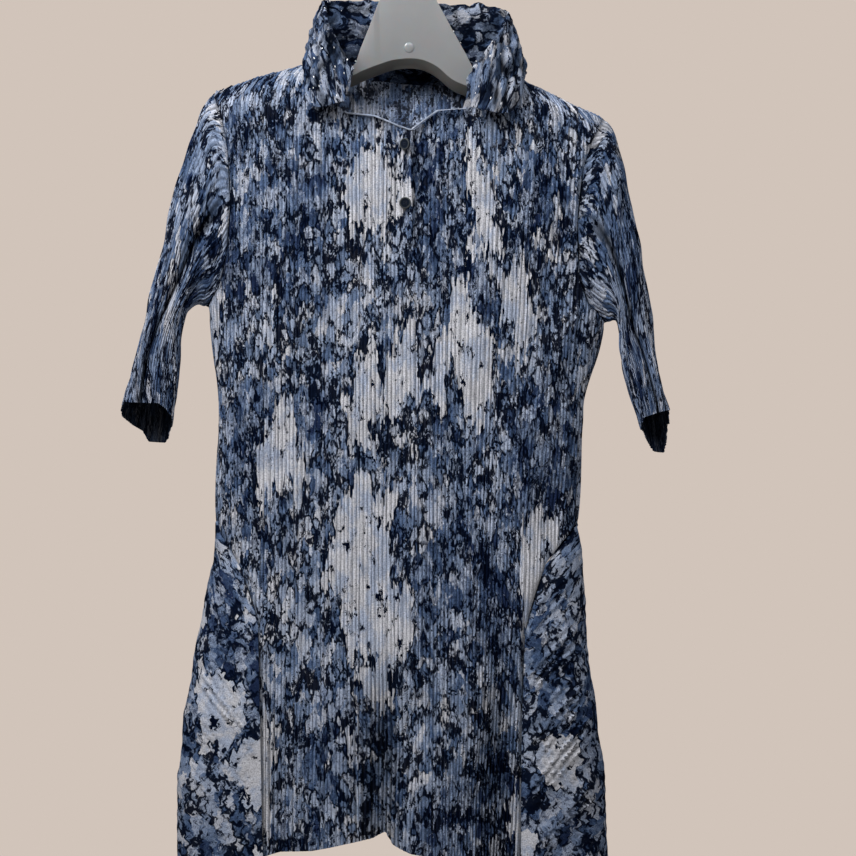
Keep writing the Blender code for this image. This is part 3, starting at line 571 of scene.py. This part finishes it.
sleeveLook = {
    "left": (
        (200, 110, 201.5, 303.6, 26, 19, 19), (187, 143, 197, 302.6, 27, 16, 15),
        (175, 182, 192, 303.8, 27, 13, 10), (166, 222, 187, 307, 26, 11, 6),
        (156, 264, 182.5, 312, 25, 10, 2), (147, 302, 180, 323, 24, 10, -2),
        (138, 340, 178.5, 341, 22, 11, -7), (129, 378, 176.5, 368, 20, 14, -13),
        (119, 416, 170, 416, 19, 19, -22),
    ),
    "right": (
        (613, 128, 610.5, 319.6, 26, 19, 19), (622, 152, 614, 318.6, 27, 16, 15),
        (629, 180, 617, 318.6, 27, 13, 10), (635, 214, 619.5, 320, 26, 11, 6),
        (643, 254, 621.5, 325, 25, 10, 2), (650, 294, 622.5, 336, 24, 10, -2),
        (655, 334, 622.5, 352, 22, 11, -7), (661, 376, 627, 376, 20, 14, -13),
        (671, 424, 643, 424, 19, 14, -24),
    ),
    "cuffFront": {
        "left": ((119, 410), (123, 402), (157, 403), (164, 408), (170, 417)),
        "right": ((643, 424), (646, 417), (657, 413), (669, 410), (672, 418)),
    },
    "cuffBack": {
        "left": ((119, 417), (128, 425), (138, 431), (144, 442), (161, 443), (165, 436), (170, 417)),
        "right": ((643, 425), (649, 438), (658, 452), (667, 453), (670, 441), (671, 425)),
    },
    "pleats": 62, "pitch": 0.0043, "rise": 1.15, "rowsBetween": 8, "soft": 1.1,
    "trough": 6.5, "ridge": 2.4, "bend": 2.2, "pinch": 0.9,  # heights of the long creases
}


def sample(line, shares):
    run = lengthAlong(line)
    return np.stack([np.interp(shares * run[-1], run, line[:, k]) for k in range(3)], axis=-1)


def sleeveRing(row, count):
    xo, yo, xi, yi, deep, frontPull, backPull = row
    turn = 2 * np.pi * np.arange(count) / count
    cos, sin = np.cos(turn), np.sin(turn)
    middle = np.array(((xo + xi) / 2, (yo + yi) / 2))
    half = np.array(((xo - xi) / 2, (yo - yi) / 2))
    up = np.array((half[1], -half[0])) / np.hypot(*half)
    if up[1] > 0.2 or (abs(up[1]) <= 0.2 and up[0] * (408 - xo) < 0):
        up = -up
    pull = np.where(sin > 0, frontPull, backPull) * sin**2
    swell = np.sign(cos) * np.abs(cos) ** 0.92
    return np.stack((middle[0] + half[0] * swell + up[0] * pull, middle[1] + half[1] * swell + up[1] * pull,
                     -deep * np.sign(sin) * np.abs(sin) ** 0.85), axis=-1)


def sleeveSheet(name, which, edge):
    count = sleeveLook["pleats"] * 4
    front = panelEdge(-1, edge, 0, underarmRow + 1)
    back = panelEdge(1, edge, 0, underarmRow + 1)
    half = count // 2
    share = np.linspace(0, 1, half + 1)
    seam = np.concatenate((sample(front, share), sample(back[::-1], share)[1:-1]))
    rings = [sleeveRing(row, count) for row in sleeveLook[which]]
    main = np.array([seam + unit(rings[0] - seam) * 0.3] + rings)
    places = np.linspace(0, len(main) - 1, (len(main) - 1) * sleeveLook["rowsBetween"] + 1)
    rows = between(main, places)
    angle = 2 * np.pi * np.arange(count) / count
    low = rows[-1]
    cuffs = [at(sleeveLook[part][which], low[:, 0], 1) for part in ("cuffBack", "cuffFront")]
    target = np.where(np.sin(angle) < 0, *cuffs)
    drop = (target - low[:, 1]) * smoothStep(np.abs(np.sin(angle)) * 2.5)
    part = smoothStep((np.array(places) / places[-1] - 0.86) / 0.14)
    rows[..., 1] += part[:, None] * drop[None, :]
    rows = np.concatenate((rows, rows[:, :1]), axis=1)
    points = placeRows(rows)
    normals = gridNormals(points, closed=True)
    centre = points[:, :-1].mean(axis=1, keepdims=True)
    if np.sum(normals * (points - centre)) < 0:
        normals = -normals
    column = np.arange(count + 1)
    rng = np.random.default_rng(21 if which == "left" else 22)
    number = (column // 4) % sleeveLook["pleats"]
    tall, swing = (rng.uniform(*limits, sleeveLook["pleats"])[number] for limits in ((0.6, 1.35), (0, 6.3)))
    height = np.array(pleats["profile"])[column % 4]
    turn = 2 * np.pi * column / count
    run = lengthAlong(points)
    t = places[:, None] / places[-1]
    fade = smoothStep(run / 0.006)
    crest = height[None, :] * fade
    lift = sleeveLook["rise"] * crest * tall * (0.85 + 0.3 * np.sin(run * 40 + swing))
    lift = lift - 0.5 * (1 - fade)
    valley = 1.35 + 0.25 * (1 - t)
    trough = bell(turn, valley, 0.20) * smoothStep(t * 4) * (1 - 0.35 * t)
    # Painted shade in the sleeve's long trough
    dark = bell(turn, valley, 0.09) * smoothStep(t * 4)
    crest = crest * (1 - dark) - 0.8 * dark
    ridge = bell(turn, 0.95, 0.34) * smoothStep(t * 3)
    bend = bell(turn, 2.3, 0.4) * smoothStep(t * 4) * smoothStep((1 - t) * 3)
    pinch = bell(turn, math.pi, 0.7) * np.clip(1 - t * 2.6, 0, 1) * fade
    lift = lift - sleeveLook["trough"] * trough + sleeveLook["ridge"] * ridge - sleeveLook["bend"] * bend
    lift = lift + sleeveLook["pinch"] * pinch * np.sin(turn * 11 + t * 5)
    lift = lift + fade * sleeveLook["soft"] * softNoise(run * 1000, turn * 40, 60, 31)
    points = points + normals * lift[..., None] / 1000
    points[:, -1] = points[:, 0]
    girth = np.linspace(0, sleeveLook["pitch"] * sleeveLook["pleats"], count + 1)
    coords = np.stack((girth + 0 * run, run), axis=-1) + printPlace[name]
    middle = points.mean(axis=1)
    levels = middle[:, 2]

    def outward(c):
        k = int(np.argmin(np.abs(levels - c[2])))
        return (c[0] - middle[k][0], c[1] - middle[k][1], c[2] - middle[k][2])

    return name, [(points, coords, crest)], outward


goreLook = {"rows": 196, "columns": 60, "pitch": 8.6, "slope": 0.8, "rise": 3.4, "soft": 1.3, "crinkle": 0.35,
            "climb": 46, "hang": 14}  # how far its middle starts above its seams and ends below them


def goreSheet(name, edge):
    rowsTotal = goreLook["rows"]
    seams = {side: panelEdge(side, edge, goreRow, len(panelEdges)) for side in (-1, 1)}
    u = np.linspace(-1, 1, goreLook["columns"] + 1)
    rows = []
    for k in range(rowsTotal + 1):
        v = k / rowsTotal
        spot = v * (len(seams[-1]) - 1)
        n = min(int(spot), len(seams[-1]) - 2)
        front, back = (seams[side][n] + (seams[side][n + 1] - seams[side][n]) * (spot - n) for side in (-1, 1))
        fade = 1 - max(0, (v - 0.5) / 0.5) ** 2
        slant = np.clip(83.2 * v - 5.2, 0, goreLook["climb"]) * fade * (1 - np.abs(u))
        hang = goreLook["hang"] * v**6 * (1 - u * u)
        down = front[1] + (back[1] - front[1]) * (u + 1) / 2 - slant + hang
        reach = at(sections, down, 2 if edge else 1)
        middle = (at(sections, down, 1) + at(sections, down, 2)) / 2
        half = np.abs(reach - middle)
        seamX = np.where(u < 0, front[0], back[0])
        angle = np.arccos(np.clip(np.abs(seamX - middle) / half, 0, 1)) * np.abs(u) ** 0.8
        s = np.cos(angle)
        deep = np.where(u < 0, -at(sections, down, 3), at(sections, down, 4))
        x = middle + (1 if edge else -1) * half * s
        row = np.stack((x, down, deep * np.sqrt(np.maximum(1 - s**2.4, 0))), axis=-1)
        ease = np.abs(u) ** 3
        rows.append(row + (ease * (u < 0))[:, None] * (front - row[0]) + (ease * (u >= 0))[:, None] * (back - row[-1]))
    rows = np.array(rows)
    points = placeRows(rows)
    normals = gridNormals(points)
    way = 1 if edge else -1
    if np.sum(normals[..., 0]) * way < 0:
        normals = -normals
    # Slanting folds: they run down from the side towards the seams and die out on the side itself
    inward = np.abs(rows[..., 0] - at(sections, rows[..., 1], 2 if edge else 1))
    waver = 0.28 * softNoise(rows[..., 0], rows[..., 1], 90, 45 + edge)
    phase = (rows[..., 1] - goreLook["slope"] * inward - 0.002 * inward**2) / goreLook["pitch"] + waver
    part = phase - np.floor(phase)
    saw = np.where(part < 0.74, smoothStep(part / 0.74), smoothStep((1 - part) / 0.26))
    rng = np.random.default_rng(41 + way)
    number = np.floor(phase).astype(int)
    tall = rng.uniform(0.45, 1.3, number.max() - number.min() + 1)[number - number.min()]
    hold = smoothStep((1 - np.abs(u)) / 0.10)[None, :]
    down, aside = rows[..., 1], rows[..., 0] + rows[..., 2]
    amount = tall * hold * smoothStep((inward - 3) / 20)
    amount = amount * (0.25 + 0.75 * smoothStep((down - 600) / 90)) * smoothStep((down - 560) / 30)
    lift = goreLook["rise"] * saw * amount - 0.8 * (1 - hold)
    lift = lift + hold * goreLook["soft"] * softNoise(aside, down, 75, 43)
    lift = lift + hold * goreLook["crinkle"] * softNoise(aside, down, 12, 47)
    points = points + normals * lift[..., None] / 1000
    coords = np.stack((lengthAlong(points, 1), down / 1000), axis=-1) + printPlace[name]
    # The crest passed on paints shade in the fold valleys
    return name, [(points, coords, 1 - 0.8 * amount * (1 - saw))], lambda c: (way, 0, 0)


# In collarLook the creases are spots of painted shade on the collar's front: across, down, width, height
collarLook = {"columns": 150, "standRows": 14, "leafRows": 18, "bulge": 3, "roll": 3.4, "crinkle": (3.0, 1.5),
              "creases": ((332, 46, 9, 18), (318, 78, 7, 12), (506, 70, 12, 12), (497, 98, 10, 8))}
collarStations = (  # share of the neck seam, roll across, down, back, leaf edge across, down, back
    (0.0, 354, 72, -46, 346, 104, -57), (0.1, 332, 32, -37, 312, 107, -50),
    (0.19, 324, 3, -6, 304, 62, -22), (0.28, 333, -5, 22, 313, 62, 33),
    (0.5, 411, -6, 40, 411, 78, 51), (0.72, 495, 2, 22, 513, 72, 33),
    (0.81, 507, 15, -6, 526, 70, -22), (0.9, 494, 42, -37, 511, 113, -50),
    (1.0, 466, 82, -46, 470, 110, -57),
)


def squareTo(line, ways):
    along = unit(np.gradient(line, axis=0))
    return unit(ways - np.sum(ways * along, axis=1, keepdims=True) * along)


def neckSeam():
    def part(side, table, start, stop):
        x = np.linspace(start, stop, 40)
        y = at(table, x, 1)
        return np.stack((x, y, side * bodyDepth(x, y, side)), axis=-1)

    return np.concatenate((part(-1, frontTop, 351, 306), part(1, backTop, 306, 521)[1:-1],
                           part(-1, frontTop, 521, 462)))


def collarSheet(name):
    count = collarLook["columns"]
    stations = np.array(collarStations, dtype=float)
    spots = np.linspace(0, len(stations) - 1, count + 1)
    seam = sample(neckSeam(), np.interp(spots, range(len(stations)), stations[:, 0]))
    roll = between(stations[:, 1:4], spots)
    leaf = between(stations[:, 4:7], spots)
    outward = roll - np.array((411.0, 0.0, 0.0))
    outward[:, 1] = 0
    outward = unit(outward)
    rise = squareTo(roll, roll - seam)
    out = unit(np.cross(np.gradient(roll, axis=0), rise))
    out *= np.sign(np.sum(out * outward, axis=1, keepdims=True))
    rows = []
    for v in np.linspace(0, 1, collarLook["standRows"]):
        rows.append(seam + (roll - seam) * v + outward * collarLook["bulge"] * math.sin(math.pi * v))
    top = roll + out * collarLook["roll"]
    for turn in (0.25, 0.5, 0.75):
        rows.append(roll + (top - roll) * turn + rise * 2.2 * math.sin(math.pi * turn))
    for v in np.linspace(0, 1, collarLook["leafRows"]):
        rows.append(top + (leaf - top) * v + outward * 2 * math.sin(math.pi * v * 0.9))
    rows = np.array(rows)
    points = placeRows(rows)
    normals = gridNormals(points)
    if normals[-2, count // 2, 1] < 0:
        normals = -normals
    run = lengthAlong(points)
    along = lengthAlong(points[collarLook["standRows"]]) * 1000
    a, r = along + 0 * run, run * 1000
    large, small = collarLook["crinkle"]
    crinkle = np.abs(softNoise(a, r, 30, 51)) * large + np.abs(softNoise(a + 40, r, 14, 52)) * small - 2.2
    ends = smoothStep(np.minimum(a, along[-1] - a) / 12)
    hold = smoothStep(run / 0.01)
    lift = crinkle * ends * hold
    points = points + normals * lift[..., None] / 1000
    # Painted shade: the crinkle valleys and the listed creases are darkened through crest
    crest = np.clip(0.42 + lift / 2.2, -0.5, 1)
    for x, y, wide, tall in collarLook["creases"]:
        crest = crest - 1.1 * bell(rows[..., 0], x, wide) * bell(rows[..., 1], y, tall) * (rows[..., 2] < 0)
    coords = np.stack((a / 1000, run), axis=-1) + printPlace[name]
    return name, [(points, coords, crest)], lambda c: (c[0], c[1], 0), 0.0013


strips = {
    "placketUpper": {"plan": (396.5, 412.5, 398.5, 412.5), "top": 132, "foot": 244, "lift": (1.0, 4.0)},
    "placketUnder": {"plan": (403, 427, 404, 421), "top": 134, "foot": 246, "lift": (-2.1, -2.1)},
}


def stripSheet(name):
    rows, coords, crests = [], [], []
    values, columns = strips[name], 17
    plan = values["plan"]
    for share in np.linspace(0, 1, 30):
        x = np.linspace(plan[0] + (plan[2] - plan[0]) * share, plan[1] + (plan[3] - plan[1]) * share, columns)
        y = np.full(columns, values["top"] + (values["foot"] - values["top"]) * share)
        lift = np.linspace(values["lift"][0], values["lift"][1], columns)
        crest = np.array(pleats["profile"])[np.arange(columns) % 4]
        # The strip's edges paint shade where it meets the front
        crest[[0, -1]] = (0.4, 0.0)
        depth = bodyDepth(x, y, -1) + lift + (crest * 0.9 if values["lift"][0] > 0 else 0)
        rows.append(place(x, y, -depth))
        coords.append(np.stack((x - 411, y), axis=-1) / 1000 + printPlace["front"])
        crests.append(crest)
    return name, [tuple(map(np.array, (rows, coords, crests)))], lambda c: (0, -1, 0)


def edgeRoll(name, line, radius):  # along a line of plan points
    line = np.array(line, dtype=float)
    along = unit(np.gradient(line, axis=0))
    up = unit(np.cross(along, (0.0, 0.0, 1.0)))
    out = np.cross(along, up)
    turn = (2 * np.pi * np.arange(11) / 10)[None, :, None]
    rows = line[:, None] + radius * (np.cos(turn) * up[:, None] + np.sin(turn) * out[:, None])
    points = placeRows(rows)
    points[:, -1] = points[:, 0]
    middle = points[:, :-1].mean(axis=1)
    coords = rows[..., :2] / 1000 + printPlace[name]

    def outward(c):
        near = middle[int(np.argmin(np.linalg.norm(middle - np.array(c), axis=1)))]
        return tuple(np.array(c) - near)

    return name, [(points, coords, np.ones(points.shape[:2]))], outward, 0.0004


edgeX = np.linspace(345, 466, 70)
edgeY = at(frontTop, edgeX, 1)
edgeLine = np.stack((edgeX, edgeY, -(bodyDepth(edgeX, edgeY, -1) + 2.2)), axis=-1)
neckEdge = clothPiece(edgeCloth, edgeCloth, *edgeRoll("neckEdge", edgeLine, 1.0))

sheets = (  # maker and its values, outside, inside, solids it stands for, then flat width, length and area in metres
    (panelSheet, ("frontPanel", -1), pleatOut, pleatIn, ("front_body",), (0.52, 0.80, 0.36)),
    (panelSheet, ("backPanel", 1), pleatOut, pleatIn, ("back_body",), (0.52, 0.81, 0.36)),
    (sleeveSheet, ("sleeveLeft", "left", 0), sleeveOut, cuffIn, ("sleeve_left",), (0.30, 0.33, 0.065)),
    (sleeveSheet, ("sleeveRight", "right", -1), sleeveOut, cuffIn, ("sleeve_right",), (0.30, 0.33, 0.065)),
    (goreSheet, ("goreLeft", 0), goreOut, goreIn, ("gore_left",), (0.21, 0.36, 0.060)),
    (goreSheet, ("goreRight", -1), goreOut, goreIn, ("gore_right",), (0.21, 0.36, 0.060)),
    (collarSheet, ("collar",), collarOut, collarIn, ("collar_stand", "collar_leaf"), (0.42, 0.17, 0.05)),
    (stripSheet, ("placketUpper",), pleatOut, pleatIn, ("placket_upper",), (0.018, 0.114, None)),
    (stripSheet, ("placketUnder",), pleatOut, pleatIn, ("placket_under",), (0.024, 0.114, None)),
)
for maker, values, outside, inside, nodes, (width, length, area) in sheets:
    piece = clothPiece(outside, inside, *maker(*values))
    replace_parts(piece, *nodes)

plasticLook = {
    "deep": (0.164, 0.170, 0.178), "light": (0.209, 0.214, 0.220),
    "shadeDeep": (0.085, 0.085, 0.082), "shadeLight": (0.1275, 0.1275, 0.123),
    "finish": {"Roughness": 0.36, "Subsurface Weight": 0.35, "Subsurface Scale": 0.006, "Coat Weight": 0.5,
               "Coat Roughness": 0.08},
}


def hardMaterial(name, scale, detail, darker, lighter, values):
    made, tree, shader = newMaterial(name, values)
    where = addNode(tree, "ShaderNodeTexCoord").outputs["Object"]
    cloud = addNode(tree, "ShaderNodeTexNoise", None, Vector=where, Scale=scale, Detail=detail).outputs["Fac"]
    tree.links.new(mixColour(tree, cloud, darker, lighter), shader.inputs["Base Color"])
    return made


frosted = hardMaterial("frostedPlastic", 22.0, 4.0, plasticLook["deep"], plasticLook["light"], plasticLook["finish"])
# Painted shade: a darker copy of the frosted plastic for the downward faces, also standing for the dark cloth seen
# through the plastic
undersideShade = hardMaterial("frostedUndersideShade", 30.0, 3.0, plasticLook["shadeDeep"], plasticLook["shadeLight"],
                         plasticLook["finish"])
hangerLook = {
    # across, top, bottom, half depth of each section, from one arm tip to the other
    "sections": (
        (221, 96, 105, 5), (226, 92, 111, 9), (240, 86.5, 112, 11), (270, 76.6, 105, 11), (300, 67.4, 97, 11),
        (330, 65, 90, 11), (352, 64, 83, 11), (360, 46, 79, 11), (372, 16, 74, 11), (380, -5, 71, 10.5),
        (390, -22, 67.5, 10), (399, -30, 65.8, 9.5), (409, -32, 65, 9.5), (419, -30, 66, 9.5), (428, -20, 69, 10),
        (438, 0, 75, 10.5), (452, 26, 87, 11), (466, 51, 93, 11), (480, 75, 98, 11), (500, 77, 105, 11),
        (522, 82.4, 114, 11), (556, 97.4, 127, 11), (586, 111.5, 135, 10), (593, 117.5, 132, 8), (597, 122, 129, 4),
    ),
    "lowerSlope": 0.0090, "corner": 0.0013, "hookRadius": 24.0, "hookWire": 2.6, "hookBall": 3.2,
    "pin": (409, 45, -9.4), "pinSize": 5.2,
}


def added():  # the primitive just added
    return bpy.context.active_object


def pickParts(piece, kind, test):  # goes to edit mode with these faces or edges selected
    bpy.ops.object.mode_set(mode="EDIT")
    bpy.ops.mesh.select_mode(type=kind)
    bpy.ops.mesh.select_all(action="DESELECT")
    bpy.ops.object.mode_set(mode="OBJECT")
    for part in piece.data.polygons if kind == "FACE" else piece.data.edges:
        part.select = test(part)
    bpy.ops.object.mode_set(mode="EDIT")


def bevelCorners(piece, width, angle):
    bend = piece.modifiers.new("corners", "BEVEL")
    bend.width, bend.segments, bend.limit_method, bend.angle_limit = width, 3, "ANGLE", math.radians(angle)
    bpy.ops.object.modifier_apply(modifier="corners")


def finishPiece(piece, name):
    makeActive(piece)
    bpy.ops.object.transform_apply(location=True, rotation=True, scale=True)
    piece.name = piece.data.name = name
    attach(piece, "root")
    return piece


def hangerPiece():
    main = np.array(hangerLook["sections"], dtype=float)
    table = between(main, np.linspace(0, len(main) - 1, 3 * (len(main) - 1) + 1))
    bpy.ops.object.select_all(action="DESELECT")
    bpy.ops.mesh.primitive_cube_add(size=1)
    body = added()
    points = body.data.vertices
    for vertex in points:
        x, top, bottom, deep = table[0 if vertex.co.x < 0 else 1]
        vertex.co = tuple(place(x, top if vertex.co.z > 0 else bottom, math.copysign(deep, vertex.co.y)))
    last = place(table[1][0], 0, 0)[0]
    pickParts(body, "FACE", lambda face: all(abs(points[i].co.x - last) < 1e-5 for i in face.vertices))
    for before, after in zip(table[1:-1], table[2:]):
        middle = place(after[0], (after[1] + after[2]) / 2, 0)
        shift = middle - place(before[0], (before[1] + before[2]) / 2, 0)
        bpy.ops.mesh.extrude_region_move(TRANSFORM_OT_translate={"value": tuple(shift)})
        bpy.ops.transform.resize(value=(1, after[3] / before[3], (after[2] - after[1]) / (before[2] - before[1])),
                                 center_override=tuple(middle))
    bpy.ops.object.mode_set(mode="OBJECT")
    points = body.data.vertices

    def longLowerEdge(edge):
        ends = [points[i].co for i in edge.vertices]
        if abs(ends[0].x - ends[1].x) < 1e-5 or ends[0].y * ends[1].y < 0:
            return False
        levels = place(0, at(table, [end.x * 1000 + origin["across"] for end in ends], 2), 0)[:, 2]
        return all(-0.1 < end.x < 0.125 and abs(end.z - level) < 4e-4 for end, level in zip(ends, levels))

    pickParts(body, "EDGE", longLowerEdge)
    bpy.ops.mesh.bevel(offset=hangerLook["lowerSlope"], segments=1, clamp_overlap=False)
    bpy.ops.object.mode_set(mode="OBJECT")
    bevelCorners(body, hangerLook["corner"], 26)
    body.data.materials.append(frosted)
    body.data.materials.append(undersideShade)
    # The downward faces get the painted shade copy
    for polygon in body.data.polygons:
        if polygon.normal.z < -0.35 and abs(polygon.center.x) < 0.13:
            polygon.material_index = 1

    bpy.ops.object.select_all(action="DESELECT")
    bpy.ops.curve.primitive_nurbs_path_add()
    hook = added()
    hook.data.splines.clear()
    radius = hangerLook["hookRadius"]
    path = [(409, -20), (409, -40), (409.5, -55)]
    for turn in range(15):
        angle = math.radians(72 - 17.5 * turn)
        path.append((408 + radius * math.cos(angle), -93.6 + radius * math.sin(angle)))
    spline = hook.data.splines.new("BEZIER")
    spline.bezier_points.add(len(path) - 1)
    for point, (x, y) in zip(spline.bezier_points, path):
        point.co = tuple(place(x, y, 0))
        point.handle_left_type = point.handle_right_type = "AUTO"
    spline.resolution_u = hook.data.bevel_resolution = 5
    hook.data.bevel_depth = hangerLook["hookWire"] / 1000
    hook.data.use_fill_caps = True
    bpy.ops.object.convert(target="MESH")
    pieces = [added()]
    balls = (((*path[-1], 0), hangerLook["hookBall"], 12), (hangerLook["pin"], hangerLook["pinSize"], 16))
    for spot, size, rings in balls:
        bpy.ops.mesh.primitive_uv_sphere_add(segments=rings * 2, ring_count=rings, radius=size / 1000,
                                             location=tuple(place(*spot)))
        pieces.append(added())
    bpy.ops.transform.resize(value=(1, 0.2, 1))
    for piece in pieces:
        piece.data.materials.append(frosted)
    makeActive(body, *pieces)
    bpy.ops.object.join()
    bpy.ops.object.mode_set(mode="EDIT")
    bpy.ops.mesh.select_all(action="SELECT")
    bpy.ops.mesh.normals_make_consistent(inside=False)
    bpy.ops.object.mode_set(mode="OBJECT")
    bpy.ops.object.shade_smooth_by_angle(angle=math.radians(20))
    return finishPiece(body, "hangerBody")


hangerBody = hangerPiece()
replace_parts(hangerBody, "hanger")
print("hanger made", len(hangerBody.data.polygons), "faces")

buttonLook = {
    "radius": 0.00575, "thick": 0.0024, "rim": 0.0011, "dish": 0.0005, "hole": 0.0006, "holeSpread": 0.0014,
    "dishSlope": 0.0006, "corner": 0.0004, "thread": 0.00038, "threadLong": 0.0030, "threadApart": 0.00099,
    "lift": 5.7, "spots": ((405, 145, 34), (405, 203.5, -8)),  # across, down, tilt
}


def buttonMaterial(name, colour, rough, specular):
    darker, lighter = (tuple(share * part for part in colour) for share in (0.75, 1.25))
    return hardMaterial(name, 260.0, 3.0, darker, lighter, {"Roughness": rough, "Specular IOR Level": specular})


buttonDark = buttonMaterial("darkButton", (0.004, 0.007, 0.014), 0.45, 0.08)
buttonRim = buttonMaterial("buttonRim", (0.035, 0.040, 0.042), 0.4, 0.25)
threadNavy = buttonMaterial("navyThread", (0.012, 0.016, 0.03), 0.8, 0.1)


def buttonPiece(number, spot):
    x, y, tilt = spot
    radius, thick, rim, dish = (buttonLook[key] for key in ("radius", "thick", "rim", "dish"))
    centre = place(x, y, -(float(bodyDepth(x, y, -1)) + buttonLook["lift"]))
    upright = (math.pi / 2, 0, 0)
    bpy.ops.object.select_all(action="DESELECT")
    bpy.ops.mesh.primitive_cylinder_add(vertices=48, radius=radius, depth=thick, location=tuple(centre),
                                        rotation=upright)
    button = added()
    bpy.ops.object.transform_apply(location=True, rotation=True, scale=True)
    pickParts(button, "FACE", lambda face: len(face.vertices) > 8 and face.center.y < centre[1])
    bpy.ops.mesh.inset(thickness=rim, depth=0)
    bpy.ops.mesh.inset(thickness=buttonLook["dishSlope"], depth=-dish)
    bpy.ops.object.mode_set(mode="OBJECT")
    bevelCorners(button, buttonLook["corner"], 40)
    for turn in range(4):
        angle = math.pi / 4 + turn * math.pi / 2
        spread = buttonLook["holeSpread"]
        holeAt = (centre[0] + spread * math.cos(angle), centre[1], centre[2] + spread * math.sin(angle))
        bpy.ops.mesh.primitive_cylinder_add(vertices=16, radius=buttonLook["hole"], depth=0.006, location=holeAt,
                                            rotation=upright)
        hole = added()
        makeActive(button)
        cut = button.modifiers.new("hole", "BOOLEAN")
        cut.operation, cut.object, cut.solver = "DIFFERENCE", hole, "EXACT"
        bpy.ops.object.modifier_apply(modifier="hole")
        bpy.data.objects.remove(hole, do_unlink=True)
    for material in (buttonDark, buttonRim, threadNavy):
        button.data.materials.append(material)
    for polygon in button.data.polygons:
        far = math.hypot(polygon.center.x - centre[0], polygon.center.z - centre[2])
        if far > radius - rim - 0.0001 and polygon.center.y < centre[1]:
            polygon.material_index = 1
    bpy.ops.object.shade_smooth_by_angle(angle=math.radians(35))
    threads = []
    for side in (-1, 1):
        threadAt = (centre[0], centre[1] - thick / 2 + dish - 0.0001, centre[2] + side * buttonLook["threadApart"])
        bpy.ops.mesh.primitive_cylinder_add(vertices=10, radius=buttonLook["thread"], depth=buttonLook["threadLong"],
                                            location=threadAt, rotation=(0, math.pi / 2, 0))
        threads.append(added())
        bpy.ops.object.transform_apply(location=True, rotation=True, scale=True)
        threads[-1].data.materials.append(threadNavy)
    makeActive(button, *threads)
    bpy.ops.object.join()
    bpy.ops.transform.rotate(value=math.radians(tilt), orient_axis="Z", center_override=tuple(centre))
    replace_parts(finishPiece(button, f"button{number}"), f"button_{number}")


for number, spot in enumerate(buttonLook["spots"], 1):
    buttonPiece(number, spot)
print("buttons made")

studio = {
    "floor": -2.3, "floorColour": (0.92, 0.84, 0.76, 1), "floorGlow": (0.62, 0.55, 0.49, 1), "floorGlowPower": 0.55,
    "distance": 3.0, "lens": 124.9, "centre": (0.020, -0.543),
    "backdrop": (0.638, 0.552, 0.491), "air": (0.56, 0.58, 0.62), "ambient": 0.22,
}
bpy.ops.object.select_all(action="DESELECT")
bpy.ops.mesh.primitive_plane_add(size=17, location=(0, 0, studio["floor"]))
floor = added()
floor.name = "floor"
paint, tree, shader = newMaterial("paleFloor", {"Base Color": studio["floorColour"], "Roughness": 0.8,
                                                "Emission Color": studio["floorGlow"]})
floorSeen = addNode(tree, "ShaderNodeLightPath").outputs["Is Camera Ray"]
tree.links.new(maths(tree, "MULTIPLY", floorSeen, studio["floorGlowPower"]), shader.inputs["Emission Strength"])
floor.data.materials.append(paint)

world = bpy.data.worlds.new("softRoom")
bpy.context.scene.world = world
world.use_nodes = True
air = world.node_tree
seen = addNode(air, "ShaderNodeLightPath").outputs["Is Camera Ray"]
strength = maths(air, "MULTIPLY_ADD", seen, 1 - studio["ambient"], studio["ambient"])
air.links.new(mixColour(air, seen, studio["air"], studio["backdrop"]), air.nodes["Background"].inputs[0])
air.links.new(strength, air.nodes["Background"].inputs[1])


def softLamp(name, spot, aim, size, power, colour):
    data = bpy.data.lights.new(name, "AREA")
    data.size, data.energy, data.color = size, power, colour
    lamp = bpy.data.objects.new(name, data)
    bpy.context.scene.collection.objects.link(lamp)
    lamp.location = spot
    x, y, z = np.subtract(aim, spot)
    lamp.rotation_euler = (math.atan2(math.hypot(x, y), -z), 0, math.atan2(x, -y) + math.pi)


softLamp("keyLight", (-0.8, -0.95, 0.8), (0, 0, -0.15), 0.8, 44, (1.0, 0.985, 0.97))
softLamp("fillLight", (1.7, -1.9, 0.5), (0, 0, -0.3), 1.6, 8, (0.94, 0.97, 1.0))
softLamp("frontLight", (0.25, -1.2, 0.75), (0, 0, -0.1), 0.8, 10, (1.0, 0.99, 0.98))
softLamp("backLight", (0.9, 2.4, 1.0), (0, 0, -0.5), 1.6, 55, (1.0, 0.99, 0.98))

camera = bpy.data.cameras.new("photoCamera")
camera.sensor_width = 36
camera.lens = studio["lens"]
eye = bpy.data.objects.new("photoCamera", camera)
bpy.context.scene.collection.objects.link(eye)
eye.location = (studio["centre"][0], -studio["distance"], studio["centre"][1])
eye.rotation_euler = (math.pi / 2, 0, 0)
bpy.context.scene.camera = eye
bpy.context.scene.view_settings.view_transform = "Standard"

print("pieces done")
